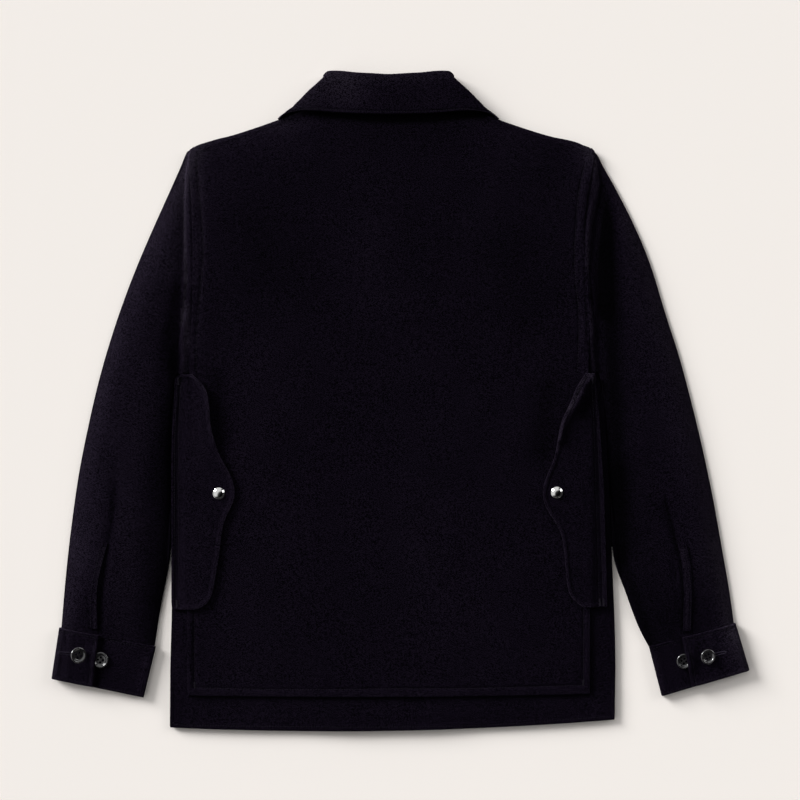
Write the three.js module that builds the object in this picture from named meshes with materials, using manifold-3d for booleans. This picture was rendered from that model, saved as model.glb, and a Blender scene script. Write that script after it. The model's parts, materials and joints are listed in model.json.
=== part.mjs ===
// A wool mackinaw jacket laid flat, face down, with its back up. Millimetres, +Z up.
// +X is the wearer's right, +Y runs towards the collar and z = 0 is the surface it lies on.
// From the surface up the layers are the collar's front leaves, the fronts, the back,
// the back pocket panel, the pocket flaps with their snaps, and the collar's fall.
import * as THREE from "three";
import { mergeVertices } from "three/addons/utils/BufferGeometryUtils.js";
import Module from "manifold-3d";

const wasm = await Module();
wasm.setup();

const { lerp, smoothstep, degToRad } = THREE.MathUtils;

// Driving dimensions of the cloth.
const CLOTH = 2.5; // one ply of the heavy wool
const FLAP_CLOTH = 3.0; // a flap, turned and pressed
const COLLAR_CLOTH = 4.0; // two plies
const CUFF_CLOTH = 3.4; // two plies, pressed
const GAP = 0.3; // between pieces that are sewn or lie on each other
const PANEL_GAP = 0.45; // between the back and the panel, whose points differ a little
const SLACK = 3.1; // loose height between the fronts and the back
const SLACK_AT_HEM = 0.4; // share of that height left at the hem
const SLACK_AT_SEAM = 0.14; // and at the side and shoulder seams
const EDGE_ROLL = 34; // how far from a side or shoulder seam the slack starts
const HEM_ROLL = 120; // how far above the hem the slack is whole
const HEM_Y = -392;

// The neck, where the body lies over the collar's front leaves.
const NECK_X = -14; // the middle of the neck, a little left of the footprint's middle
const NECK_Y = 353.3; // top edge of the back
const NECK_LIFT = 4.4;
const NECK_LIFT_REACH = { inner: 136, outer: 232, low: 110, high: 238 };
const NECK_HALF_WIDTH = 86;
const NECK_DROP_FRONT = 75; // how much lower the neckline is at the front
const NECK_DROP_SHARE = 0.88; // the share of the half width where that drop begins
const NECK_SLACK = { inner: 60, outer: 99 }; // where the shoulder seam starts to close it

// The fronts lap at the middle, the left one outermost, which is the lowest here.
const LAP = 20;
const LAP_FLAT = 50; // the right front is lifted so far from the middle
const LAP_RAMP = 16; // and comes down again over this
const LAP_REACH = 116; // where the back is down too

const UNDERARM_LOW = 10;
const UNDERARM_HIGH = 50;

// Outline of the back, from the hem up: a row runs from its left point to its right point,
// bows along Y in the middle, and has its number of steps up to the next row.
const BACK_ROWS = [
  { leftX: -276.6, leftY: -390.6, rightX: 257.4, rightY: -381.7, bow: -8, steps: 1 },
  { leftX: -276.2, leftY: -351.0, rightX: 257.8, rightY: -348.8, bow: -3, steps: 1 },
  { leftX: -275.8, leftY: -306.6, rightX: 258.1, rightY: -306.6, bow: 0, steps: 1 },
  { leftX: -274.2, leftY: -251.4, rightX: 256.6, rightY: -251.4, bow: 0, steps: 1 },
  { leftX: -274.2, leftY: -185.4, rightX: 253.8, rightY: -185.4, bow: 0, steps: 1 },
  { leftX: -274.2, leftY: -119.4, rightX: 251.4, rightY: -119.4, bow: 0, steps: 1 },
  { leftX: -274.2, leftY: -40.2, rightX: 246.6, rightY: -40.2, bow: 0, steps: 1 },
  { leftX: -269.4, leftY: 19.8, rightX: 240.6, rightY: 19.8, bow: 0, steps: 1 },
  { leftX: -250.4, leftY: 35.4, rightX: 223.8, rightY: 36.6, bow: 0, steps: 1 },
  { leftX: -247.4, leftY: 120.6, rightX: 224.6, rightY: 120.6, bow: 0, steps: 1 },
  { leftX: -247.1, leftY: 184.2, rightX: 219.5, rightY: 184.2, bow: 0, steps: 1 },
  { leftX: -248.8, leftY: 240.6, rightX: 221.8, rightY: 240.6, bow: 0, steps: 1 },
  { leftX: -249.8, leftY: 301.2, rightX: 231.0, rightY: 299.4, bow: 0, steps: 2 },
  { leftX: -147.0, leftY: 335.4, rightX: 119.4, rightY: 335.4, bow: 0, steps: 1 },
  { leftX: -99.0, leftY: NECK_Y, rightX: 71.0, rightY: NECK_Y, bow: 0, steps: 0 },
];

// Outline of the pocket panel below the armholes. Above them it shares the back's rows.
const PANEL_SIDES = { left: -255, right: 227.4 };
const PANEL_BOTTOM_ROW = 1;
const FIRST_ARMHOLE_ROW = 8;
const SHOULDER_ROW = 12;
const PANEL_EDGE_COLUMNS = 3; // the back's outer columns that the panel leaves out

// The fronts end in the neckline. Their hem stays a little above the back's.
const FRONT_HEM_RISE = 1.4;
const NECKLINE_CLEAR = 2.2;
const FRONT_NECK_ROWS = [
  { side: 0.45, fromMiddle: -LAP },
  { side: 0.62, fromMiddle: 8 },
  { side: 0.8, fromMiddle: 22 },
  { side: 1.0, fromMiddle: 36 },
];
const FRONT_SHOULDER_ROWS = [
  { shoulder: 0.3, fromMiddle: 50 },
  { shoulder: 0.56, fromMiddle: 62 },
  { shoulder: 0.77, fromMiddle: 74 },
  { shoulder: 0.91, fromMiddle: 82 },
];

// Where the columns of a panel stand across its width, closer near its edges.
const COLUMNS = [
  0, 0.014, 0.034, 0.07, 0.13, 0.21, 0.3, 0.39, 0.46, 0.52, 0.6, 0.69, 0.78, 0.87, 0.93, 0.966, 0.986, 1,
];
// A front's columns: distances from its lapped edge, then shares of the rest.
const LAP_STOPS = [0, 20, 43, 58];
const FRONT_SHARES = [0.22, 0.42, 0.6, 0.75, 0.87, 0.95, 1];
const FRONT_FULL_WIDTH = 200;

// Flap outlines from top to bottom.
const FLAP_LEFT_ROWS = [
  { y: 31.2, left: -262.0, right: -252.0 },
  { y: 27.6, left: -268.6, right: -245.4 },
  { y: 14.4, left: -270.6, right: -233.4 },
  { y: -5.4, left: -271.0, right: -228.6 },
  { y: -29.4, left: -273.1, right: -226.8 },
  { y: -45.0, left: -273.7, right: -223.1 },
  { y: -65.4, left: -274.0, right: -216.6 },
  { y: -88.2, left: -274.2, right: -204.1 },
  { y: -107.4, left: -274.2, right: -198.8 },
  { y: -124.2, left: -274.2, right: -201.0 },
  { y: -147.0, left: -274.2, right: -211.8 },
  { y: -180.6, left: -274.2, right: -216.2 },
  { y: -209.4, left: -274.2, right: -221.4 },
  { y: -230.3, left: -274.2, right: -224.8 },
  { y: -245.0, left: -274.0, right: -233.4 },
  { y: -250.6, left: -273.0, right: -246.6 },
];
const FLAP_RIGHT_ROWS = [
  { y: 32.2, left: 222.6, right: 233.0 },
  { y: 29.0, left: 220.7, right: 234.0 },
  { y: 13.2, left: 212.8, right: 235.8 },
  { y: -3.0, left: 205.1, right: 237.5 },
  { y: -21.6, left: 194.3, right: 238.8 },
  { y: -44.6, left: 189.0, right: 240.4 },
  { y: -69.0, left: 184.2, right: 241.8 },
  { y: -88.2, left: 176.4, right: 243.0 },
  { y: -108.0, left: 171.0, right: 244.2 },
  { y: -126.0, left: 173.9, right: 244.8 },
  { y: -142.8, left: 183.8, right: 245.3 },
  { y: -158.6, left: 192.2, right: 245.6 },
  { y: -183.0, left: 196.4, right: 246.4 },
  { y: -209.4, left: 198.6, right: 247.0 },
  { y: -226.0, left: 201.1, right: 247.3 },
  { y: -237.6, left: 207.0, right: 247.6 },
  { y: -247.6, left: 219.0, right: 247.8 },
];
const FLAP_SHARES = [0.3, 0.6, 0.84, 1];
const FLAP_CLIMB = { start: 9, end: 2 }; // where a flap climbs onto the panel's edge
const FLAP_CLEAR = 0.3;

// The right flap's upper free edge stands up a little, and the left one's barely.
const FLAP_CURLS = {
  left: { y: -8, reach: 30, height: 0.8 },
  right: { y: 2, reach: 34, height: 3.2 },
};

// Snaps: a flanged cap with a domed middle.
const SNAP_RADIUS = 7.5;
const SNAPS = [
  { name: "snap_left", x: -217.2, y: -111.4, side: "left" },
  { name: "snap_right", x: 187.3, y: -110.4, side: "right" },
];
const SNAP_PROFILE = [
  { share: 0, height: 0 },
  { share: 0.94, height: 0 },
  { share: 1, height: 0.5 },
  { share: 0.97, height: 1.1 },
  { share: 0.84, height: 1.5 },
  { share: 0.66, height: 1.3 },
  { share: 0.58, height: 1.5 },
  { share: 0.5, height: 2.3 },
  { share: 0.3, height: 2.8 },
  { share: 0, height: 3.0 },
];

// Sleeves, ring by ring from the armhole to the cuff. A ring runs from the sleeve's outer
// fold to its inner one. Follow is how far it keeps the armhole's curve, top is its height
// and ply its upper wall, which is doubled by the seam at the armhole.
const SLEEVE_LEFT_RINGS = [
  { outX: -250.2, outY: 300.0, inX: -251.0, inY: 37.5, follow: 1.0, top: 10.8, ply: 4.8 },
  { outX: -255.2, outY: 296.0, inX: -264.0, inY: 36.0, follow: 1.0, top: 10.4, ply: 4.4 },
  { outX: -259.8, outY: 290.0, inX: -269.6, inY: 33.0, follow: 0.9, top: 7.3, ply: CLOTH },
  { outX: -276.6, outY: 252.6, inX: -275.0, inY: 2.0, follow: 0.4, top: 8.0, ply: CLOTH },
  { outX: -298.2, outY: 204.6, inX: -275.2, inY: -40.0, follow: 0, top: 8.4, ply: CLOTH },
  { outX: -318.6, outY: 156.6, inX: -275.2, inY: -80.0, follow: 0, top: 8.4, ply: CLOTH },
  { outX: -336.6, outY: 108.6, inX: -275.2, inY: -115.0, follow: 0, top: 8.4, ply: CLOTH },
  { outX: -352.2, outY: 60.6, inX: -275.2, inY: -147.0, follow: 0, top: 8.4, ply: CLOTH },
  { outX: -365.4, outY: 12.6, inX: -275.4, inY: -172.0, follow: 0, top: 8.4, ply: CLOTH },
  { outX: -376.2, outY: -35.4, inX: -277.6, inY: -194.0, follow: 0, top: 8.4, ply: CLOTH },
  { outX: -385.8, outY: -83.4, inX: -281.4, inY: -216.0, follow: 0, top: 8.4, ply: CLOTH },
  { outX: -393.0, outY: -131.4, inX: -286.0, inY: -238.0, follow: 0, top: 8.4, ply: CLOTH },
  { outX: -399.0, outY: -179.4, inX: -289.6, inY: -258.0, follow: 0, top: 8.4, ply: CLOTH },
  { outX: -403.8, outY: -227.4, inX: -292.5, inY: -277.0, follow: 0, top: 8.2, ply: CLOTH },
  { outX: -407.6, outY: -272.6, inX: -295.3, inY: -294.8, follow: 0, top: 7.8, ply: CLOTH },
];
const SLEEVE_RIGHT_RINGS = [
  { outX: 231.8, outY: 298.4, inX: 224.8, inY: 38.5, follow: 1.0, top: 10.8, ply: 4.8 },
  { outX: 237.0, outY: 291.5, inX: 233.5, inY: 37.0, follow: 1.0, top: 10.4, ply: 4.4 },
  { outX: 242.0, outY: 284.0, inX: 239.4, inY: 34.0, follow: 0.9, top: 7.3, ply: CLOTH },
  { outX: 259.8, outY: 252.6, inX: 244.4, inY: 2.0, follow: 0.4, top: 8.0, ply: CLOTH },
  { outX: 283.8, outY: 204.6, inX: 248.0, inY: -42.0, follow: 0, top: 8.4, ply: CLOTH },
  { outX: 303.0, outY: 156.6, inX: 250.4, inY: -82.0, follow: 0, top: 8.4, ply: CLOTH },
  { outX: 317.4, outY: 108.6, inX: 252.6, inY: -118.0, follow: 0, top: 8.4, ply: CLOTH },
  { outX: 333.0, outY: 60.6, inX: 254.2, inY: -152.0, follow: 0, top: 8.4, ply: CLOTH },
  { outX: 346.2, outY: 12.6, inX: 255.4, inY: -182.0, follow: 0, top: 8.4, ply: CLOTH },
  { outX: 358.2, outY: -35.4, inX: 261.2, inY: -206.0, follow: 0, top: 8.4, ply: CLOTH },
  { outX: 369.0, outY: -83.4, inX: 269.0, inY: -226.0, follow: 0, top: 8.4, ply: CLOTH },
  { outX: 378.6, outY: -131.4, inX: 275.8, inY: -245.0, follow: 0, top: 8.4, ply: CLOTH },
  { outX: 387.0, outY: -179.4, inX: 282.2, inY: -262.0, follow: 0, top: 8.4, ply: CLOTH },
  { outX: 395.4, outY: -227.4, inX: 289.0, inY: -278.0, follow: 0, top: 8.2, ply: CLOTH },
  { outX: 400.9, outY: -266.8, inX: 298.2, inY: -295.2, follow: 0, top: 7.8, ply: CLOTH },
];
const SLEEVE_EDGE = 3.0; // radius of a sleeve's folded edges
const SLEEVE_TOP_SHARES = [0.05, 0.16, 0.28, 0.4, 0.5, 0.6, 0.72, 0.84, 0.95];
const SLEEVE_UNDER_SHARES = [0.9, 0.77, 0.64, 0.5, 0.36, 0.23, 0.1];
const EDGE_ANGLES = [-90, -45, 0, 45, 90];

// Cuffs: the corners of the flattened band, and the lap's free edge, measured from the
// outer fold at the band's top and bottom edges.
const CUFFS = {
  left: {
    topOut: [-409.9, -273.1],
    topIn: [-295.5, -295.3],
    endOut: [-419.0, -333.5],
    endIn: [-309.5, -356.2],
    lapTop: 46.3,
    lapEnd: 48.6,
    lapButton: [-359.6, -311.4],
    topButton: [-386.4, -304.4],
  },
  right: {
    topOut: [402.8, -267.5],
    topIn: [298.5, -295.7],
    endOut: [419.4, -323.4],
    endIn: [313.8, -355.0],
    lapTop: 64.5,
    lapEnd: 70.3,
    lapButton: [340.3, -312.9],
    topButton: [368.2, -306.5],
  },
};
const CUFF_PLY_GAP = 1.0; // between the under side and the upper one
const CUFF_UNDERLAP = 30; // how far the under end runs beneath the lap
const CUFF_RINGS = [0, 0.18, 0.34, 0.48, 0.62, 0.78, 1];
const CUFF_STOPS = {
  lower: [0, 10, 22, 30, 42],
  under: [0.75, 0.5, 0.25],
  upper: [0.3, 0.6],
  lap: [14, 8, 3.5, 0],
};
const LAP_LIFT = 3.4; // the lap's edge rides over the spare button
const LAP_LIFT_START = 13; // from the lap's edge
const LAP_LIFT_END = 3;
const LAP_LIFT_SPREAD = { full: 9, none: 20 };

// Four hole buttons with a raised rim.
const BUTTON_RADIUS = 8.7;
const BUTTON_THICK = 3.0;
const BUTTON_TILT = 16; // the button in use stands askew in its hole
const BUTTON_PROFILE = [
  { share: 0, height: 0 },
  { share: 0.82, height: 0 },
  { share: 1, height: 0.3 },
  { share: 1, height: 0.75 },
  { share: 0.9, height: 1 },
  { share: 0.78, height: 0.9 },
  { share: 0.66, height: 0.62 },
  { share: 0, height: 0.56 },
];
const BUTTON_HOLE = { radius: 1.15, spread: 1.9, sides: 8 };
const ROUND_SIDES = 20;

// Placket strips: places of the slit's edge from its top down to the cuff.
const PLACKET_WIDTH = 9.6;
const PLACKET_PATHS = {
  left: [
    { x: -350.0, y: -172.0 },
    { x: -355.2, y: -190.2 },
    { x: -361.3, y: -217.8 },
    { x: -363.1, y: -243.0 },
    { x: -363.0, y: -272.0 },
  ],
  right: [
    { x: 331.8, y: -172.0 },
    { x: 336.2, y: -190.2 },
    { x: 338.9, y: -225.0 },
    { x: 339.0, y: -250.0 },
    { x: 338.9, y: -275.2 },
  ],
};
const PLACKET_CLOTH = 1.8;

// The collar: its two sided section from the fall's free edge over the roll to the stand's
// seam. Spread is half the straight length of the flattened loop at that height.
const COLLAR_MIDDLE_Z = 10.15;
const FALL_DEPTH = COLLAR_MIDDLE_Z - COLLAR_CLOTH / 2;
const STAND_DEPTH = 3.4;
const COLLAR_FALL = [
  { height: 0, spread: 121.5 },
  { height: 0.12, spread: 116 },
  { height: 0.24, spread: 106.5 },
  { height: 0.36, spread: 101.5 },
  { height: 0.68, spread: 86 },
  { height: 1, spread: 70 },
];
const COLLAR_STAND = [
  { height: 1, spread: 70 },
  { height: 0.5, spread: 73 },
  { height: 0, spread: 76 },
];
const ROLL_STEPS = 4;
// Heights of the collar's lines along the loop, at shares of the half width.
const FALL_EDGE_BACK = [
  { share: 0, y: 343.4 },
  { share: 0.4, y: 344.8 },
  { share: 0.72, y: 348.0 },
  { share: 0.94, y: 345.6 },
  { share: 1, y: 339.9 },
];
const ROLL_LINE_BACK = [
  { share: 0, y: 390.3 },
  { share: 0.5, y: 392.4 },
  { share: 0.82, y: 395.2 },
  { share: 0.95, y: 392.8 },
  { share: 1, y: 388.0 },
];
const LEAF_EDGE_FRONT = [
  { share: 0.2, y: 236 },
  { share: 0.64, y: 268 },
  { share: 0.86, y: 312 },
  { share: 0.915, y: 340.2 },
  { share: 1, y: 340.2 },
];
const STAND_SEAM = NECK_Y + 0.6;
const LEAF_POINT = 36; // how far the leaf's point stands outside its inner end
const LEAF_END = 3; // half the space between the leaves at the middle
const COLLAR_BACK_STEPS = 10;
const COLLAR_TURN_STEPS = 5;
const COLLAR_FRONT_STEPS = 5;

const WOOL = { color: 0x14101a, roughness: 0.95, metalness: 0 };
const BUTTON_FINISH = { color: 0x0b0b0d, roughness: 0.18, metalness: 0 };
const NICKEL = { color: 0xc9ccd0, roughness: 0.22, metalness: 1 };

const jacket = new THREE.Group();
jacket.name = "mackinaw_jacket";

const between = (from, to, v) => smoothstep(v, from, to);

// Reads a table by straight lines between its rows. The key column rises or falls all along.
function read(table, key, at, column) {
  const rising = table[table.length - 1][key] > table[0][key];
  const rows = rising ? table : [...table].reverse();
  const clamped = Math.min(Math.max(at, rows[0][key]), rows[rows.length - 1][key]);
  let i = 0;
  while (i < rows.length - 2 && rows[i + 1][key] < clamped) i++;
  const low = rows[i];
  const high = rows[i + 1];
  const share = (clamped - low[key]) / (high[key] - low[key]);
  return lerp(low[column], high[column], share);
}

const SIDE_ROWS = BACK_ROWS.slice(0, SHOULDER_ROW + 1);
const SHOULDER_ROWS = BACK_ROWS.slice(SHOULDER_ROW);
const leftEdge = (y) => read(SIDE_ROWS, "leftY", y, "leftX");
const rightEdge = (y) => read(SIDE_ROWS, "rightY", y, "rightX");

// Height of the shoulder seam above a point, or the neck edge between the shoulders.
function shoulderY(x) {
  const side = x < NECK_X ? "left" : "right";
  return read(SHOULDER_ROWS, side + "X", x, side + "Y");
}

const rollUp = (distance) => 1 - (1 - Math.min(Math.max(distance / EDGE_ROLL, 0), 1)) ** 2;

// How far the body is lifted by the collar's leaves beneath it.
function neckLift(x, y) {
  const reach = NECK_LIFT_REACH;
  const across = 1 - between(reach.inner, reach.outer, Math.abs(x - NECK_X));
  return NECK_LIFT * across * between(reach.low, reach.high, y);
}

// Loose height between the layers: none at the side and shoulder seams, some at the hem,
// and whole over the middle, where the fronts lap.
function slack(x, y) {
  const fromSide = Math.min(x - leftEdge(y), rightEdge(y) - x);
  const open = between(UNDERARM_LOW, UNDERARM_HIGH, y);
  const side = lerp(lerp(SLACK_AT_SEAM, 1, rollUp(fromSide)), 1, open);
  const neck = 1 - between(NECK_SLACK.inner, NECK_SLACK.outer, Math.abs(x - NECK_X));
  const shoulder = lerp(lerp(SLACK_AT_SEAM, 1, rollUp(shoulderY(x) - y)), 1, neck);
  const hem = lerp(SLACK_AT_HEM, 1, between(0, HEM_ROLL, y - HEM_Y));
  const lap = 1 - between(LAP_FLAT + LAP_RAMP, LAP_REACH, Math.abs(x - NECK_X));
  return SLACK * side * shoulder * Math.max(hem, lap);
}

const frontUnder = (x, y) => neckLift(x, y);
function lappedFrontUnder(x, y) {
  const lap = 1 - between(LAP_FLAT, LAP_FLAT + LAP_RAMP, x - NECK_X);
  return neckLift(x, y) + lap * (CLOTH + GAP);
}
const backUnder = (x, y) => neckLift(x, y) + CLOTH + GAP + slack(x, y);
const panelUnder = (x, y) => backUnder(x, y) + CLOTH + PANEL_GAP;

// A flap lies on the back beside the panel, then climbs onto it, and curls at its upper edge.
function flapUnder(x, y, side) {
  const edge = PANEL_SIDES[side];
  const outwards = side === "left" ? edge - x : x - edge;
  const climb = 1 - between(FLAP_CLIMB.end, FLAP_CLIMB.start, outwards);
  const rows = side === "left" ? FLAP_LEFT_ROWS : FLAP_RIGHT_ROWS;
  const free = read(rows, "y", y, side === "left" ? "right" : "left");
  const fixed = read(rows, "y", y, side === "left" ? "left" : "right");
  const curl = FLAP_CURLS[side];
  const across = ((x - fixed) / (free - fixed)) ** 2;
  const along = Math.exp(-(((y - curl.y) / curl.reach) ** 2));
  return backUnder(x, y) + (CLOTH + GAP) * (1 + climb) + FLAP_CLEAR + curl.height * across * along;
}

// Four corners as two triangles.
function quad(corners, a, b, c, d) {
  corners.push(a, b, c, a, c, d);
}

// A mesh's triangles from its corners, turned so that they face out.
function closedGeometry(corners) {
  let volume = 0;
  for (let i = 0; i < corners.length; i += 3) {
    volume += corners[i].dot(corners[i + 1].clone().cross(corners[i + 2]));
  }
  const turned = volume < 0;
  const positions = [];
  for (let i = 0; i < corners.length; i += 3) {
    const triangle = turned
      ? [corners[i], corners[i + 2], corners[i + 1]]
      : [corners[i], corners[i + 1], corners[i + 2]];
    triangle.forEach((p) => positions.push(p.x, p.y, p.z));
  }
  const geometry = new THREE.BufferGeometry();
  geometry.setAttribute("position", new THREE.Float32BufferAttribute(positions, 3));
  const merged = mergeVertices(geometry, 1e-4);
  merged.computeVertexNormals();
  return merged;
}

// A wall between two grids of points, row by row, closed all round its rim. When looped,
// each row closes on itself, as a tube's rings do.
function wall(inside, outside, looped) {
  const corners = [];
  const lastRow = inside.length - 1;
  const columns = inside[0].length;
  const spans = looped ? columns : columns - 1;
  for (let c = 0; c < spans; c++) {
    const d = (c + 1) % columns;
    for (let r = 0; r < lastRow; r++) {
      quad(corners, outside[r][c], outside[r][d], outside[r + 1][d], outside[r + 1][c]);
      quad(corners, inside[r][c], inside[r + 1][c], inside[r + 1][d], inside[r][d]);
    }
    quad(corners, inside[0][c], inside[0][d], outside[0][d], outside[0][c]);
    quad(corners, outside[lastRow][c], outside[lastRow][d], inside[lastRow][d], inside[lastRow][c]);
  }
  const end = columns - 1;
  for (let r = 0; r < lastRow && !looped; r++) {
    quad(corners, inside[r][0], outside[r][0], outside[r + 1][0], inside[r + 1][0]);
    quad(corners, outside[r][end], inside[r][end], inside[r + 1][end], outside[r + 1][end]);
  }
  return closedGeometry(corners);
}

function add(name, geometry, finish) {
  const mesh = new THREE.Mesh(geometry, new THREE.MeshStandardMaterial(finish));
  mesh.name = name;
  jacket.add(mesh);
  return mesh;
}

// Plan points of a panel from its rows. Columns is a list of shares across a row, or a
// function that gives them for the row's width.
function planGrid(rows, columns) {
  const grid = [];
  rows.forEach((row, i) => {
    const next = rows[i + 1];
    const steps = next ? row.steps : 1;
    for (let s = 0; s < steps; s++) {
      const t = s / steps;
      const mix = (column) => (next ? lerp(row[column], next[column], t) : row[column]);
      const width = mix("rightX") - mix("leftX");
      const shares = typeof columns === "function" ? columns(width) : columns;
      const line = shares.map((u) => {
        const bow = mix("bow") * 4 * u * (1 - u);
        return [lerp(mix("leftX"), mix("rightX"), u), lerp(mix("leftY"), mix("rightY"), u) + bow];
      });
      grid.push(line);
    }
  });
  return grid;
}

// The pocket panel's plan: the back's own points, without its outer columns below the
// armholes, where the panel ends at its straight open sides.
function pocketPanelPlan() {
  const skip = PANEL_EDGE_COLUMNS;
  const plan = planGrid(BACK_ROWS.slice(PANEL_BOTTOM_ROW), COLUMNS);
  return plan.map((line, i) => {
    const middle = line.slice(skip, -skip);
    const last = line.length - 1;
    if (i + PANEL_BOTTOM_ROW >= FIRST_ARMHOLE_ROW) {
      return [line[0], ...middle, line[last]];
    }
    return [[PANEL_SIDES.left, line[0][1]], ...middle, [PANEL_SIDES.right, line[last][1]]];
  });
}

// Shares across a front whose lapped edge comes first.
function frontColumns(width) {
  const shrink = Math.min(1, width / FRONT_FULL_WIDTH);
  const stops = LAP_STOPS.map((stop) => (stop * shrink) / width);
  const last = stops[stops.length - 1];
  return [...stops, ...FRONT_SHARES.map((share) => lerp(last, 1, share))];
}

// A panel whose under side is at a given height over each of its plan points.
function panel(name, plan, under, thickness) {
  const inside = plan.map((line) => line.map(([x, y]) => new THREE.Vector3(x, y, under(x, y))));
  const outside = inside.map((line) => line.map((p) => new THREE.Vector3(p.x, p.y, p.z + thickness)));
  return add(name, wall(inside, outside, false), WOOL);
}

// How much lower than the back's the front neckline is at a share of the neck's half width.
function neckDrop(share) {
  return NECK_DROP_FRONT * (1 - Math.min(share / NECK_DROP_SHARE, 1) ** 2);
}

// Rows of a front, each from its side or armhole to its lapped edge or neckline. Side is -1
// for the left one and 1 for the right one.
function frontRows(side) {
  const edge = side < 0 ? "left" : "right";
  const lapX = NECK_X - side * LAP;
  const outline = BACK_ROWS.map((row) => [row[edge + "X"], row[edge + "Y"]]);
  const armholeTop = outline[SHOULDER_ROW];
  const belowTop = outline[SHOULDER_ROW - 1];
  const neckPoint = outline[outline.length - 1];
  const row = (out, inner) => {
    const [left, right] = side < 0 ? [out, inner] : [inner, out];
    return { leftX: left[0], leftY: left[1], rightX: right[0], rightY: right[1], bow: 0, steps: 1 };
  };
  const neckline = (fromMiddle) => [
    NECK_X + side * fromMiddle,
    NECK_Y - neckDrop(Math.max(fromMiddle, 0) / NECK_HALF_WIDTH) - NECKLINE_CLEAR,
  ];
  const rows = outline.slice(0, SHOULDER_ROW).map(([x, y], i) => {
    const rise = i === 0 ? FRONT_HEM_RISE : 0;
    const innerY = i === 0 ? HEM_Y : y;
    return row([x, y + rise], [lapX, innerY + rise]);
  });
  FRONT_NECK_ROWS.forEach((line) => {
    const x = lerp(belowTop[0], armholeTop[0], line.side);
    rows.push(row([x, lerp(belowTop[1], armholeTop[1], line.side)], neckline(line.fromMiddle)));
  });
  FRONT_SHOULDER_ROWS.forEach((line) => {
    const x = lerp(armholeTop[0], neckPoint[0], line.shoulder);
    rows.push(row([x, shoulderY(x)], neckline(line.fromMiddle)));
  });
  return rows;
}

function frontPlan(side) {
  const fromLap = (width) => frontColumns(width);
  const fromSide = (width) => frontColumns(width).map((u) => 1 - u).reverse();
  return planGrid(frontRows(side), side < 0 ? fromSide : fromLap);
}

// Plan points of a flap: its sewn edge, the place where it comes onto the panel, and shares
// of the rest up to its free edge.
function flapPlan(rows, side) {
  const climb = PANEL_SIDES[side] + (side === "left" ? -1 : 1) * FLAP_CLIMB.end;
  return rows.map((row) => {
    const [sewn, free] = side === "left" ? [row.left, row.right] : [row.right, row.left];
    const stops = [sewn, lerp(sewn, climb, 0.5), climb, ...FLAP_SHARES.map((share) => lerp(climb, free, share))];
    return stops.map((x) => [x, row.y]);
  });
}

// How the armhole seam departs from the straight line between its ends, at a share of it.
function armholeBow(side, share) {
  const edge = side < 0 ? leftEdge : rightEdge;
  const low = BACK_ROWS[FIRST_ARMHOLE_ROW];
  const high = BACK_ROWS[SHOULDER_ROW];
  const column = side < 0 ? "left" : "right";
  const y = lerp(high[column + "Y"], low[column + "Y"], share);
  return edge(y) - lerp(high[column + "X"], low[column + "X"], share);
}

// Height of a sleeve's upper face over a share of its ring.
function sleeveTop(ring, share) {
  const edge = 2 * SLEEVE_EDGE;
  return edge + (ring.top - edge) * (1 - Math.abs(2 * share - 1) ** 4);
}

// A point of a sleeve ring at a distance from its outer fold.
function ringPoint(ring, side, along, z) {
  const width = Math.hypot(ring.inX - ring.outX, ring.inY - ring.outY);
  const share = along / width;
  const bow = ring.follow * armholeBow(side, share);
  return new THREE.Vector3(lerp(ring.outX, ring.inX, share) + bow, lerp(ring.outY, ring.inY, share), z);
}

// One closed loop of a sleeve, its outer face or, with walls taken off, its inner one.
function sleeveLoop(ring, side, under, upper) {
  const width = Math.hypot(ring.inX - ring.outX, ring.inY - ring.outY);
  const radius = SLEEVE_EDGE - under;
  const points = [];
  EDGE_ANGLES.forEach((angle) => {
    const a = degToRad(angle);
    points.push([SLEEVE_EDGE - radius * Math.cos(a), SLEEVE_EDGE + radius * Math.sin(a)]);
  });
  SLEEVE_TOP_SHARES.forEach((share) => points.push([share * width, sleeveTop(ring, share) - upper]));
  EDGE_ANGLES.slice().reverse().forEach((angle) => {
    const a = degToRad(angle);
    points.push([width - SLEEVE_EDGE + radius * Math.cos(a), SLEEVE_EDGE + radius * Math.sin(a)]);
  });
  SLEEVE_UNDER_SHARES.forEach((share) => points.push([share * width, under]));
  return points.map(([along, z]) => ringPoint(ring, side, along, z));
}

function sleeve(name, rings, side) {
  const outside = rings.map((ring) => sleeveLoop(ring, side, 0, 0));
  const inside = rings.map((ring) => sleeveLoop(ring, side, CLOTH, ring.ply));
  return add(name, wall(inside, outside, true), WOOL);
}

// Heights of the middle of each ply of a cuff.
const CUFF_MIDDLE = {
  under: CUFF_CLOTH / 2,
  lower: 1.5 * CUFF_CLOTH + CUFF_PLY_GAP,
  upper: 2.5 * CUFF_CLOTH + CUFF_PLY_GAP + GAP,
};

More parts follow.
